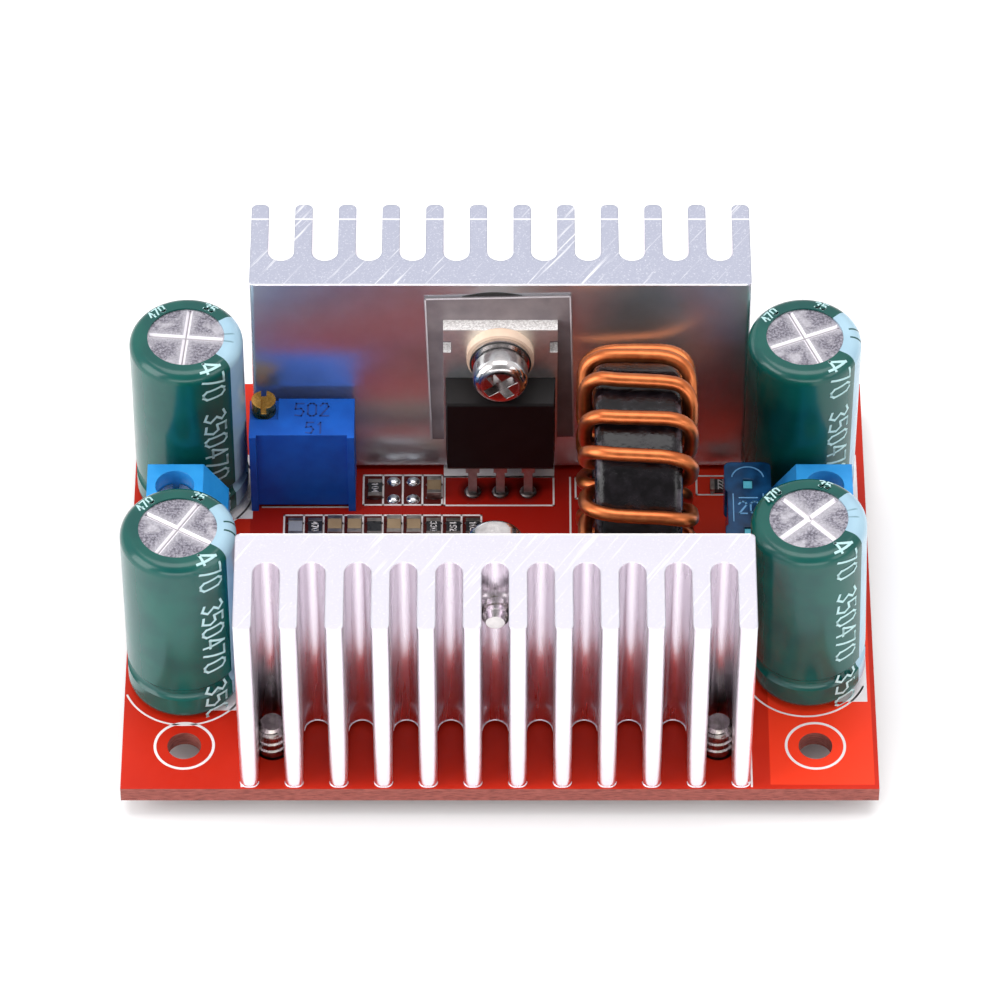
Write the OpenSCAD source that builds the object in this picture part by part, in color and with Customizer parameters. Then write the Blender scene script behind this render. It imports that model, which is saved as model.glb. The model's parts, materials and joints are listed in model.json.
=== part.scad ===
// Step-up converter module: a board that carries two finned heatsinks with a power device on each,
// a wound ring core, four capacitors, two terminal blocks, two trimmers and a blade fuse.
// +X runs to the right, +Y to the back, +Z up. The heads of the heatsink screws stand on z = 0.

/* [Board] */
// Thickness of the board
board_thickness = 1.6; // [1:0.1:2.4]
// Bare board outside the left capacitors
left_margin = 0.3; // [0:0.1:3]
// Bare board outside the right capacitors
right_margin = 1.1; // [0:0.1:3]
// Bare board in front of and behind the fin tips
edge_margin = 0.15; // [0:0.05:3]
// Diameter of the four mounting holes
mount_hole = 3; // [2.2:0.1:3.6]
// Distance of the mounting holes from the board's ends
mount_inset_x = 5.5; // [4:0.1:6.5]
// Distance of the mounting holes from the board's long edges
mount_inset_y = 4.9; // [3:0.1:5.4]
// How far each lead stands out below the board
lead_tail = 1.2; // [0.8:0.1:1.6]
// Play of a lead in its hole, all round
lead_play = 0.15; // [0.05:0.05:0.3]

/* [Heatsinks] */
// Length of each heatsink
sink_length = 45; // [40:0.5:60]
// Height of each heatsink
sink_height = 23; // [22:0.1:32]
// Thickness of the base plate at the slot floors
plate_thickness = 3.1; // [2:0.1:5]
// Reach of the fins past the slot floors
fin_reach = 7.35; // [6:0.05:14]
// Number of fins
fin_count = 12; // [8:2:12]
// Thickness of a fin
fin_thickness = 1.6; // [1.3:0.05:1.8]
// Radius of the fin tips' corners
fin_round = 0.6; // [0.2:0.05:0.65]
// Outward lean of each heatsink
sink_lean = 3; // [0:0.5:4]
// Gap between a heatsink's end and the capacitors beside it
end_gap = 0.1; // [0.1:0.1:3]
// Shift of the rear heatsink to the right of the front one
rear_shift = 0.45; // [0:0.05:0.6]

/* [Screws] */
// Thread diameter of the heatsink screws
sink_screw_d = 2.8; // [2.6:0.1:3.2]
// How far the heatsink screws reach above the board
sink_screw_reach = 3.5; // [3:0.5:14]
// Distance of the heatsink screws from the slot floors
sink_screw_gap = 2.7; // [2:0.1:4]
// Head diameter of the heatsink screws
sink_head_d = 5.2; // [4.4:0.1:6]
// Head height of the heatsink screws
sink_head_h = 2.2; // [1.8:0.1:3]
// Thread diameter of the device screws
device_screw_d = 2.4; // [2:0.1:2.5]
// Head diameter of the device screws
device_head_d = 5; // [4.2:0.1:5.6]
// Head height of the device screws
device_head_h = 2.1; // [1.6:0.1:3]
// Reach of the front screw's thread past the slot floor
front_screw_reach = 2; // [1:0.1:6]
// Reach of the rear screw's thread past the slot floor
rear_screw_reach = 3; // [1:0.1:6]

/* [Power devices] */
// Width of the metal tab
package_width = 10.3; // [9.8:0.1:10.6]
// Thickness of the metal tab
tab_thickness = 1.3; // [0.6:0.1:1.5]
// Height of the tab above the moulded body
tab_height = 6; // [5.8:0.1:7]
// Height of the moulded body
body_height = 9.1; // [8.2:0.1:9.4]
// Thickness of the moulded body in front of the tab
body_thickness = 2.9; // [2.6:0.1:3.4]
// Distance of the tab's hole from the tab's top
tab_hole_drop = 2.8; // [2.6:0.1:3]
// Diameter of the tab's hole
tab_hole = 3.6; // [3.4:0.1:3.9]
// Height of the front screw hole above the heatsink's foot
front_hole_height = 17; // [15:0.1:18]
// Height of the rear screw hole above the heatsink's foot
rear_hole_height = 16; // [15:0.1:17]
// Distance between neighbouring legs
leg_pitch = 2.54; // [2.3:0.01:2.6]
// Width of a leg
leg_width = 0.8; // [0.6:0.05:0.9]
// Thickness of a leg
leg_thickness = 0.5; // [0.4:0.05:0.7]
// Width of the rear insulating pad
pad_width = 13; // [11:0.5:16]
// Height of the rear insulating pad
pad_height = 17.8; // [16:0.1:20]
// Thickness of the rear insulating pad
pad_thickness = 0.2; // [0.1:0.05:0.5]
// Turn of the rear insulating pad about its screw
pad_turn = 1.5; // [0:0.1:2]
// Diameter of the insulating bush's flange
bush_flange_d = 6.1; // [5.6:0.1:7]
// Thickness of the insulating bush's flange
bush_flange = 1; // [0.6:0.1:1.6]
// Thickness of the flat washer
flat_washer = 0.5; // [0.3:0.1:0.8]
// Thickness of the spring washer
spring_washer = 0.8; // [0.5:0.1:1.2]

/* [Inductor] */
// Outer diameter of the coated ring core
core_od = 22.2; // [20:0.1:26]
// Inner diameter of the coated ring core
core_id = 13.4; // [12.5:0.1:14.5]
// Axial height of the ring core
core_height = 7.7; // [7:0.1:10]
// Radius of the core's rounded edges
core_round = 1; // [0.9:0.1:1.6]
// Wire diameter
wire_d = 1.2; // [0.9:0.05:1.5]
// Slack between the wire and the core
wire_gap = 0.25; // [0.2:0.05:0.4]
// Number of turns
turns = 16; // [8:1:18]
// Clearance between the winding and each heatsink
coil_clearance = 1; // [0.6:0.1:4]
// Gap between the winding and the fuse
coil_fuse_gap = 2.7; // [1:0.1:4]
// Distance of the ring's centre behind the board's middle
coil_shift = 0.4; // [0:0.1:0.4]

/* [Capacitors] */
// Diameter of the aluminium can
can_diameter = 9.9; // [8:0.1:12.5]
// Height of the aluminium can
can_height = 20; // [14:0.5:30]
// Thickness of the shrink sleeve
sleeve_thickness = 0.15; // [0.1:0.05:0.3]
// Radius of the can's rounded rim
can_round = 0.9; // [0.6:0.1:1.4]
// Diameter of the bare disc that the sleeve leaves open on top
bare_disc = 6.9; // [5:0.1:7]
// Distance between the two leads
cap_lead_pitch = 5; // [3.5:0.1:5.5]
// Diameter of a lead
cap_lead_d = 0.6; // [0.5:0.05:0.8]
// Gap between the front capacitors and the terminal blocks
front_cap_gap = 0.3; // [0.2:0.1:3]
// Gap between the rear capacitors and the terminal blocks
rear_cap_gap = 1; // [0.2:0.1:3]
// How far the front left capacitor stands in front of the front right one
front_left_shift = 1; // [0:0.1:1.2]
// Lean of the front right capacitor towards the heatsink
cap_lean = 1.8; // [0:0.1:2.2]

/* [Terminal blocks] */
// Distance between the two poles
pole_pitch = 5.08; // [5:0.01:5.6]
// Height of the housing
terminal_height = 10; // [9.6:0.1:13]
// Width of the top face, across the screw
terminal_top = 5.05; // [4.6:0.05:6]
// Inward run of the sloped shoulder
terminal_slope_run = 2.15; // [1.6:0.05:3]
// Drop of the sloped shoulder
terminal_slope_drop = 3.3; // [2:0.1:5]
// Draft of the outer face from foot to top
terminal_draft = 0.5; // [0:0.1:0.8]
// Distance of the housing from the board's end
terminal_inset = 1.3; // [0.5:0.1:2]
// Middle of the terminal blocks behind the board's middle
terminal_y = 0.2; // [-0.5:0.1:0.5]
// Diameter of the clamp screw's head
clamp_head_d = 3.3; // [3:0.1:3.4]
// Thread diameter of the clamp screw
clamp_screw_d = 2.5; // [2:0.1:2.6]
// Travel of the clamp cage
cage_travel = 1.2; // [0.6:0.1:1.2]

/* [Trimmers] */
// Length of a trimmer
trimmer_length = 9.53; // [8.5:0.01:10.5]
// Thickness of a trimmer
trimmer_thickness = 4.83; // [4.4:0.01:5.4]
// Height of a trimmer above the board
trimmer_height = 10; // [8:0.1:12]
// Gap between a trimmer and the heatsink behind it
trimmer_gap = 0.3; // [0.1:0.1:1]
// Distance of a trimmer from the heatsink's left end
trimmer_inset = 0.2; // [0:0.1:1]
// Diameter of the adjusting screw's head
adjuster_d = 2.2; // [1.9:0.1:2.4]
// Height of the adjusting screw's head
adjuster_h = 1.5; // [1:0.1:2]
// Pin pitch
trimmer_pin_pitch = 2.54; // [2:0.01:2.9]

/* [Fuse] */
// Length of the fuse housing
fuse_length = 10.9; // [10:0.1:12]
// Thickness of the fuse housing
fuse_thickness = 4.2; // [3.4:0.1:4.6]
// Height of the fuse housing above the board
fuse_height = 9.3; // [8.6:0.1:12]
// Middle of the fuse behind the board's middle
fuse_y = 0.7; // [0:0.1:1.2]
// Gap between the fuse and the right terminal block
fuse_gap = 0.1; // [0.1:0.05:1.5]

/* [Small parts] */
// Spacing of the chip rows' places
chip_pitch = 1.8; // [1.6:0.05:1.9]
// Length of a chip part
chip_length = 2; // [1.6:0.1:2.4]
// Width of a chip part
chip_width = 1.25; // [0.8:0.05:1.4]
// Height of a chip resistor
resistor_height = 0.55; // [0.4:0.05:0.8]
// Height of a chip capacitor
capacitor_height = 0.9; // [0.6:0.05:1.2]
// Length of a chip's metal end
chip_end = 0.4; // [0.3:0.05:0.5]
// Gap between the chip rows and the trimmer
chip_gap = 0.7; // [0.4:0.1:1]
// Width of the controller chip's body
controller_width = 3.9; // [3.6:0.1:4.4]
// Length of the controller chip's body
controller_length = 4.9; // [4.6:0.1:6]

/* [Hidden] */
$fn = 48;
slack = 0.01;
cut = 0.5;
running = 0.05;

// Overall layout: the ring core sets the heatsinks apart, the heatsinks and capacitors set the board
cap_od = can_diameter + 2 * sleeve_thickness;
winding_od = core_od + 2 * (wire_d + wire_gap);
face_y = winding_od / 2 + coil_clearance;
sink_depth = plate_thickness + fin_reach;
board_depth = 2 * (face_y + sink_depth + edge_margin);
board_length = sink_length + 2 * (end_gap + cap_od) + left_margin + right_margin;
board_top = sink_head_h + board_thickness;
layout_x = (left_margin - right_margin) / 2;
sink_left = layout_x - sink_length / 2;
lead_drop = board_thickness + lead_tail;
mount_x = board_length / 2 - mount_inset_x;
mount_y = board_depth / 2 - mount_inset_y;

// Heatsink
fin_pitch = (sink_length - fin_thickness) / (fin_count - 1);
slot_width = fin_pitch - fin_thickness;
sink_lift = sink_depth * sin(sink_lean);
end_slot_x = sink_length / 2 - fin_thickness - slot_width / 2;
sink_screw_y = face_y + plate_thickness + sink_screw_gap;
plate_corner = 0.4;

// Power devices
function hole_height(side) = side > 0 ? rear_hole_height : front_hole_height;
function screw_reach(side) = side > 0 ? rear_screw_reach : front_screw_reach;
device_bore = device_screw_d + 2 * slack;
function tab_top(side) = hole_height(side) + tab_hole_drop;
function body_top(side) = tab_top(side) - tab_height;
function body_bottom(side) = body_top(side) - body_height;
body_width = package_width - 0.2;
body_draft = 0.25;
body_slope = 0.8;
leg_depth = 1.3;
leg_shoulder = 1.25;
leg_shoulder_h = 1.6;
leg_r = norm([leg_width, leg_thickness]) / 2 + 0.1;
tab_notch_w = 0.7;
tab_notch_h = 1.4;
pad_drop = 5.55;
pad_shift = 0.1;
bush_wall = 0.4;
bush_bore = tab_hole - 2 * bush_wall;
washer_d = device_head_d + 0.5;
spring_washer_d = device_head_d - 0.3;
recess_width = 0.18;
recess_reach = 0.62;
recess_depth = 0.6;

// Inductor
coil_radius = core_od / 2 + wire_gap + wire_d / 2;
bore_radius = core_id / 2 - wire_gap - wire_d / 2;
coil_mean = (coil_radius + bore_radius) / 2;
coil_half = (coil_radius - bore_radius) / 2;
coil_axial = core_height / 2 + wire_gap + wire_d / 2;
coil_square = 4;
coil_steps = 16;
wire_sides = 8;
turn_angle = 360 / turns;
ring_z = winding_od / 2;
ring_y = coil_shift;

// Capacitors
cap_seat = 0.05;
groove_height = 3.3;
groove_r = 1.1;
groove_depth = 0.35;
vent_width = 0.55;
vent_depth = 0.25;
seal_d = can_diameter - 1.2;
seal_height = 1.4;
seal_play = 0.08;
cap_xs = [sink_left - end_gap - cap_od / 2, sink_left + sink_length + end_gap + cap_od / 2];
cap_ys = [
    terminal_y - pole_pitch - front_cap_gap - cap_od / 2,
    terminal_y + pole_pitch + rear_cap_gap + cap_od / 2
];
vent_angles = [[-31, -5], [42, 23]];

// Terminal blocks
terminal_depth = terminal_draft + terminal_top + terminal_slope_run;
clamp_x = -terminal_draft - terminal_top / 2;
cage_wall = 0.6;
cage_top_wall = 1.2;
cage_window = 2.6;
cage_rest = 0.3;
cage_height = cage_wall + cage_window + cage_top_wall;
cage_length = 3.4;
cage_width = pole_pitch - 1.48;
pocket_play = 0.15;
pocket_top = cage_rest + cage_height + cage_travel + 0.1;
pocket_width = cage_width + 2 * pocket_play;
ledge = 0.6;
clamp_head_h = 1.7;
plate_h = 0.8;
plate_z = cage_rest + cage_wall + cage_window - plate_h - 0.1;
clamp_tip = plate_z + plate_h + 0.15;
cage_bore_floor = clamp_tip - cage_rest - cage_travel - 3 * running;
plate_width = cage_width - 2 * cage_wall - 0.2;
pin_width = 1;
pin_thickness = 0.8;
pin_x = clamp_x - cage_length / 2 - 0.3 - pin_thickness / 2;
pocket_back = pin_x - pin_thickness / 2 - 0.2;
wall_x = clamp_x + cage_length / 2 + 0.2;
entry_width = 3.2;
entry_floor = 0.7;
entry_height = 3.4;
pole_groove = 0.3;

// Trimmers
trimmer_foot = 0.5;
trimmer_post = 0.65;
trimmer_recess = 0.35;
trimmer_x = sink_left + trimmer_inset + trimmer_length / 2;
trimmer_y = face_y - trimmer_gap - trimmer_thickness / 2;
adjuster_inset = [1.3, 1.25];
adjuster_x = -trimmer_length / 2 + adjuster_inset.x;
adjuster_y = trimmer_thickness / 2 - adjuster_inset.y;
adjuster_play = 0.2;
adjuster_corner = adjuster_inset + (adjuster_d / 2 + adjuster_play) * [1, 1];
adjuster_step = 0.3;
adjuster_seat = trimmer_height - adjuster_step;
adjuster_shank = 1.6;
adjuster_depth = 5;
trimmer_pin_d = 0.6;

// Fuse
fuse_x = board_length / 2 - terminal_inset - terminal_depth - fuse_gap - fuse_thickness / 2;
fuse_head = 3.6;
fuse_end = 3.6;
fuse_waist = 0.25;
fuse_skirt_inset = 0.3;
fuse_seat = 0.8;
fuse_round = 0.6;
blade_width = 2.8;
blade_thickness = 0.7;
blade_pitch = fuse_length - blade_width - 0.4;
blade_top = fuse_height - 3.1;
blade_play = 0.05;
fuse_window = [0.85, 1.1];
window_inset = 2.6;
element_height = 1;

// Inductor place, beside the fuse
ring_x = fuse_x - fuse_thickness / 2 - coil_fuse_gap - coil_axial - wire_d / 2;

// Chip rows: r is a resistor, c a capacitor and a blank an empty place
front_row = "rrccrccrrr";
rear_row = "r  c";
front_row_x = trimmer_x - trimmer_length / 2 + 3.15;
front_row_y = trimmer_y - trimmer_thickness / 2 - chip_gap - 0.6 - chip_length / 2;
rear_row_x = trimmer_x + trimmer_length / 2 + chip_gap + 0.15;
rear_row_y = trimmer_y;
lone_chips = [
    [fuse_x - fuse_thickness / 2 + 0.1, trimmer_y + 0.4, "r", 90],
    [ring_x - coil_axial + 1.3, trimmer_y, "r", 90]
];

// Controller chip
controller_height = 1.5;
controller_stand = 0.15;
controller_x = layout_x - 8;
controller_y = -1.5;
controller_pitch = 1.27;
controller_leg = [0.42, 0.2];

// Solder
solder_ring = 0.7;
solder_height = 0.9;

// Places

module on_board() {
    translate([0, 0, board_top]) children();
}

function sink_x(side) = layout_x + (side > 0 ? rear_shift : 0);

// Foot of a heatsink's inner face: local +Y points to the board's middle, +Z up along the leaning face
module at_sink(side) {
    translate([sink_x(side), side * face_y, board_top + sink_lift])
        rotate([0, 0, side > 0 ? 180 : 0])
            rotate([sink_lean, 0, 0])
                children();
}

// Outer foot of a terminal block: local +X points out of the board
module at_terminal(side) {
    translate([side * (board_length / 2 - terminal_inset), terminal_y, board_top])
        rotate([0, 0, side > 0 ? 0 : 180])
            children();
}

module at_trimmer(side) {
    translate([trimmer_x, side * trimmer_y, board_top])
        rotate([0, 0, side > 0 ? 0 : 180])
            children();
}

// Only the front right capacitor leans, about the middle of its height
function cap_tilt(i, j) = i == 1 && j == 0 ? cap_lean : 0;
function cap_shift(i, j) = i == 0 && j == 0 ? front_left_shift : 0;
function cap_place(i, j) =
    [cap_xs[i] + can_height / 2 * sin(cap_tilt(i, j)), cap_ys[j] - cap_shift(i, j)];

module at_cap(i, j) {
    lean = cap_tilt(i, j);
    foot = cap_place(i, j);
    translate([foot.x, foot.y, board_top + cap_seat + cap_od / 2 * sin(lean)])
        rotate([0, -lean, 0])
            children();
}

// The leads stay upright: each meets the middle of its hole in the seal
function cap_lead_place(i, j, k) =
    let (lean = cap_tilt(i, j))
    cap_place(i, j) + [k * cap_lead_pitch / 2 * cos(lean) - seal_height / 2 * sin(lean), 0];

function cap_lead_top(i, j, k) =
    let (lean = cap_tilt(i, j))
    cap_seat + (cap_od + k * cap_lead_pitch) / 2 * sin(lean) + seal_height * cos(lean);

module at_fuse() {
    translate([fuse_x, fuse_y, board_top]) children();
}

// One turn is a squared loop round the ring's section, and each turn moves on by the same angle
function bulge(c) = sign(c) * pow(abs(c), 2 / coil_square);
function coil_radial(phi) = [0, cos(phi), sin(phi)];
function coil_phi(u) = 270 - (u - 180) / 360 * turn_angle;
function coil_point(u) =
    [coil_axial * bulge(cos(u)), 0, 0] + (coil_mean + coil_half * bulge(sin(u))) * coil_radial(coil_phi(u));
function coil_outward(u) = [cos(u), 0, 0] + sin(u) * coil_radial(coil_phi(u));

coil_last = 360 * turns;
coil_start = coil_point(180);
coil_end = coil_point(coil_last);
coil_step = 360 / coil_steps;
coil_angles = [for (u = [180:coil_step:coil_last]) u];
coil_foot = -(ring_z + lead_drop);
coil_path = concat(
    [[coil_start.x, coil_start.y, coil_foot]],
    [for (u = coil_angles) coil_point(u)],
    [[coil_end.x, coil_end.y, coil_foot]]
);
coil_sides = concat([[-1, 0, 0]], [for (u = coil_angles) coil_outward(u)], [[1, 0, 0]]);

// World place where a device leg crosses the board's middle plane
function leg_place(side, k) =
    let (out = device_back(side) + tab_thickness + leg_depth)
    let (down = (sink_lift + board_thickness / 2 + out * sin(sink_lean)) / cos(sink_lean))
    let (reach = out * cos(sink_lean) + down * sin(sink_lean))
    [sink_x(side) + k * leg_pitch, side * (face_y - reach)];

function terminal_place(side, pole) =
    [side * (board_length / 2 - terminal_inset + pin_x), terminal_y + side * pole * pole_pitch / 2];

function trimmer_place(side, k) = [trimmer_x + k * trimmer_pin_pitch, side * trimmer_y];

// Every round lead that passes the board, as [x, y, radius of the lead]
through_leads = concat(
    [for (i = [0, 1], j = [0, 1], k = [-1, 1])
        concat(cap_lead_place(i, j, k), cap_lead_d / 2)],
    [for (side = [-1, 1], k = [-1:1]) concat(leg_place(side, k), leg_r)],
    [for (side = [-1, 1], pole = [-1, 1])
        concat(terminal_place(side, pole), norm([pin_width, pin_thickness]) / 2)],
    [for (side = [-1, 1], k = [-1:1]) concat(trimmer_place(side, k), trimmer_pin_d / 2)],
    [for (p = [coil_start, coil_end]) [ring_x + p.x, ring_y + p.y, wire_d / 2]]
);

// General shapes

module rounded_rectangle(size, r) {
    square([size.x - 2 * r, size.y], center = true);
    square([size.x, size.y - 2 * r], center = true);
    for (x = [-1, 1], y = [-1, 1])
        translate([x * (size.x / 2 - r), y * (size.y / 2 - r)]) circle(r);
}

module block(size, at) {
    translate(at) translate([-size.x / 2, -size.y / 2, 0]) cube(size);
}

// Half section of a pan head, seat at y = 0
module pan_section(d, h) {
    r = h * 0.45;
    square([d / 2, h - r]);
    square([d / 2 - r, h]);
    translate([d / 2 - r, h - r]) circle(r);
}

// Pan head screw with a cross recess: the head stands above z = 0 and the thread runs down from it
module pan_screw(head_d, head_h, thread_d, length) {
    difference() {
        union() {
            rotate_extrude() intersection() {
                pan_section(head_d, head_h);
                square([head_d, head_h]);
            }
            translate([0, 0, -length + thread_d / 4]) cylinder(h = length, d = thread_d);
            translate([0, 0, -length]) cylinder(h = thread_d / 4, d1 = thread_d * 0.7, d2 = thread_d);
        }
        for (a = [0, 90])
            rotate([0, 0, a])
                block([head_d * recess_reach, head_d * recess_width, head_h],
                    [0, 0, head_h * (1 - recess_depth)]);
    }
}

// Board

module circuit_board() {
    color("firebrick")
        difference() {
            translate([-board_length / 2, -board_depth / 2, sink_head_h])
                cube([board_length, board_depth, board_thickness]);
            for (x = [-1, 1], y = [-1, 1])
                board_hole([x * mount_x, y * mount_y], mount_hole / 2);
            for (x = [-1, 1], y = [-1, 1])
                board_hole([sink_x(y) + x * end_slot_x, y * sink_screw_y], sink_screw_d / 2 + lead_play);
            for (lead = through_leads)
                board_hole([lead.x, lead.y], lead.z + lead_play);
            for (y = [-1, 1])
                translate([fuse_x, fuse_y + y * blade_pitch / 2, sink_head_h - cut])
                    blade_block(lead_play, board_thickness + 2 * cut);
        }
}

module board_hole(at, r) {
    translate([at.x, at.y, sink_head_h - cut]) cylinder(h = board_thickness + 2 * cut, r = r);
}

// Tinned fillets round the leads under the board
module solder_joints() {
    color("silver") {
        for (lead = through_leads)
            translate([lead.x, lead.y, sink_head_h])
                rotate_extrude()
                    solder_section(lead.z + slack);
        for (y = [-1, 1])
            translate([fuse_x, fuse_y + y * blade_pitch / 2, sink_head_h - solder_height / 2])
                difference() {
                    linear_extrude(solder_height / 2)
                        rounded_rectangle([blade_thickness, blade_width] + solder_ring * [2, 2], solder_ring);
                    translate([0, 0, -cut / 2]) blade_block(slack, solder_height);
                }
    }
}

module solder_section(r) {
    difference() {
        translate([r, -solder_height]) square([solder_ring, solder_height]);
        translate([r + solder_ring + 0.15, -solder_height - 0.1]) circle(solder_ring);
    }
}

// Heatsinks

module fin_section() {
    straight = fin_reach - fin_round;
    translate([-fin_thickness / 2, 0]) square([fin_thickness, straight]);
    translate([-fin_thickness / 2 + fin_round, 0]) square([fin_thickness - 2 * fin_round, fin_reach]);
    for (x = [-1, 1])
        translate([x * (fin_thickness / 2 - fin_round), straight]) circle(fin_round);
}

// Extruded section: base plate with round slot floors, fins pointing along -Y
module sink_section() {
    root = plate_thickness + slot_width / 2;
    rotate(180) {
        difference() {
            translate([-sink_length / 2, 0]) square([sink_length, root]);
            for (i = [0:fin_count - 2])
                translate([(i + 1 - fin_count / 2) * fin_pitch, root]) circle(slot_width / 2);
            for (x = [-1, 1])
                translate([x * sink_length / 2, 0])
                    difference() {
                        square(2 * plate_corner, center = true);
                        translate([-x * plate_corner, plate_corner]) circle(plate_corner);
                    }
        }
        for (i = [0:fin_count - 1])
            translate([(i + 0.5 - fin_count / 2) * fin_pitch, plate_thickness + slot_width / 2])
                intersection() {
                    translate([0, -slot_width / 2]) fin_section();
                    translate([-fin_thickness, 0]) square([2 * fin_thickness, sink_depth]);
                }
    }
}

module heatsink(side) {
    color("lightgray")
        difference() {
            at_sink(side)
                difference() {
                    linear_extrude(sink_height) sink_section();
                    translate([0, cut, hole_height(side)])
                        rotate([90, 0, 0])
                            cylinder(h = plate_thickness + screw_reach(side) + 2 * cut, d = device_bore);
                }
            for (x = [-1, 1])
                translate([sink_x(side) + x * end_slot_x, side * sink_screw_y, sink_head_h])
                    cylinder(h = board_thickness + sink_screw_reach + slack, d = sink_screw_d + 2 * slack);
        }
}

module heatsink_screws() {
    color("gray")
        for (x = [-1, 1], y = [-1, 1])
            translate([sink_x(y) + x * end_slot_x, y * sink_screw_y, sink_head_h])
                rotate([180, 0, 0])
                    pan_screw(sink_head_d, sink_head_h, sink_screw_d, board_thickness + sink_screw_reach);
}

// Power devices, drawn on the heatsink's face with the tab's back at y = back

function device_back(side) = side > 0 ? pad_thickness : 0;

// Moulded body: its side view, narrowed towards the front by the draft of the mould
module device_body(side) {
    front = tab_thickness + body_thickness;
    top = body_top(side);
    bottom = body_bottom(side);
    color("dimgray")
        at_sink(side)
            translate([0, device_back(side), 0])
                intersection() {
                    translate([-package_width / 2, 0, 0])
                        rotate([90, 0, 90])
                            linear_extrude(package_width)
                                polygon([
                                    [tab_thickness, bottom], [front - 0.3, bottom],
                                    [front, bottom + 0.5], [front, top - body_slope],
                                    [front - 0.2, top - body_slope + 0.2],
                                    [tab_thickness + 0.1, top], [tab_thickness, top]
                                ]);
                    linear_extrude(top + cut)
                        polygon([
                            [-body_width / 2, 0], [body_width / 2, 0],
                            [body_width / 2 - 2 * body_draft, 2 * front],
                            [2 * body_draft - body_width / 2, 2 * front]
                        ]);
                }
}

module device_tab(side) {
    foot = body_bottom(side) + 0.6;
    middle = device_back(side) + tab_thickness / 2;
    color("silver")
        at_sink(side)
            difference() {
                block([package_width, tab_thickness, tab_top(side) - foot], [0, middle, foot]);
                translate([0, middle - tab_thickness, hole_height(side)])
                    rotate([-90, 0, 0]) cylinder(h = 2 * tab_thickness, d = tab_hole);
                for (x = [-1, 1])
                    block([2 * tab_notch_w, 2 * tab_thickness, tab_notch_h],
                        [x * package_width / 2, middle, hole_height(side)]);
            }
}

module device_legs(side) {
    y = device_back(side) + tab_thickness + leg_depth;
    foot = -(sink_lift + lead_drop);
    shoulder = body_bottom(side) - leg_shoulder_h;
    color("silver")
        at_sink(side)
            for (k = [-1:1]) {
                block([leg_shoulder, leg_thickness, leg_shoulder_h], [k * leg_pitch, y, shoulder]);
                block([leg_width, leg_thickness, shoulder - foot], [k * leg_pitch, y, foot]);
            }
}

// Places a piece on the device's screw axis, its seat at y = out and its top towards the board's middle
module on_device(side, out) {
    at_sink(side) translate([0, out, hole_height(side)]) rotate([-90, 0, 0]) children();
}

module device_screw(side) {
    seat = washer_seat(side) + flat_washer + spring_washer;
    shank = seat + plate_thickness + screw_reach(side);
    color("gainsboro")
        on_device(side, seat)
            rotate([0, 0, 35])
                pan_screw(device_head_d, device_head_h, device_screw_d, shank);
}

// Height of the flat washer's seat above the heatsink: the rear stack has a pad and a bush under it
function washer_seat(side) = device_back(side) + tab_thickness + (side > 0 ? bush_flange : 0);

module ring(od, id, h) {
    difference() {
        cylinder(h = h, d = od);
        translate([0, 0, -cut]) cylinder(h = h + 2 * cut, d = id);
    }
}

module rear_insulating_pad() {
    color("darkgray")
        at_sink(1)
            translate([0, 0, rear_hole_height])
                difference() {
                    rotate([0, pad_turn, 0])
                        block([pad_width, pad_thickness, pad_height],
                            [pad_shift, pad_thickness / 2, pad_drop - pad_height]);
                    translate([0, -cut, 0])
                        rotate([-90, 0, 0]) cylinder(h = pad_thickness + 2 * cut, d = tab_hole);
                }
}

module rear_insulating_bush() {
    color("bisque")
        on_device(1, pad_thickness + tab_thickness)
            difference() {
                union() {
                    cylinder(h = bush_flange, d = bush_flange_d);
                    translate([0, 0, -tab_thickness]) cylinder(h = tab_thickness, d = tab_hole - 2 * slack);
                }
                translate([0, 0, -2 * tab_thickness])
                    cylinder(h = 3 * tab_thickness + bush_flange, d = bush_bore);
            }
}

module device_flat_washer(side) {
    color("silver")
        on_device(side, washer_seat(side))
            ring(washer_d, device_screw_d + 0.3, flat_washer);
}

module device_spring_washer(side) {
    color("silver")
        on_device(side, washer_seat(side) + flat_washer)
            difference() {
                ring(spring_washer_d, device_screw_d + 0.3, spring_washer);
                rotate([0, 0, 60])
                    block([0.4, spring_washer_d, 2 * spring_washer],
                        [0, spring_washer_d / 2, -spring_washer / 2]);
            }
}

// Inductor, standing on edge with its axis along X

module inductor_core() {
    wall = (core_od - core_id) / 2;
    color("black")
        on_board()
            translate([ring_x, ring_y, ring_z])
                rotate([0, 90, 0])
                    rotate_extrude()
                        translate([core_id / 2 + wall / 2, 0])
                            rounded_rectangle([wall, core_height], core_round);
}

function unit(v) = v / norm(v);
function tangent(path, i) = unit(path[min(i + 1, len(path) - 1)] - path[max(i - 1, 0)]);

// One round of points about a path point, turned square to the path
function wire_ring(i) =
    let (t = tangent(coil_path, i))
    let (n = unit(coil_sides[i] - (coil_sides[i] * t) * t))
    let (b = cross(t, n))
    [for (s = [0:wire_sides - 1])
        coil_path[i] + wire_d / 2 * (cos(s * 360 / wire_sides) * n + sin(s * 360 / wire_sides) * b)];

module inductor_winding() {
    rings = len(coil_path);
    points = [for (i = [0:rings - 1]) each wire_ring(i)];
    walls = [for (i = [0:rings - 2], s = [0:wire_sides - 1])
        let (n = (s + 1) % wire_sides)
        [i * wire_sides + s, (i + 1) * wire_sides + s, (i + 1) * wire_sides + n, i * wire_sides + n]];
    first = [for (s = [0:wire_sides - 1]) s];
    last = [for (s = [wire_sides - 1:-1:0]) (rings - 1) * wire_sides + s];
    color("peru")
        on_board()
            translate([ring_x, ring_y, ring_z])
                polyhedron(points = points, faces = concat([first], walls, [last]));
}

// Capacitors

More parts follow.
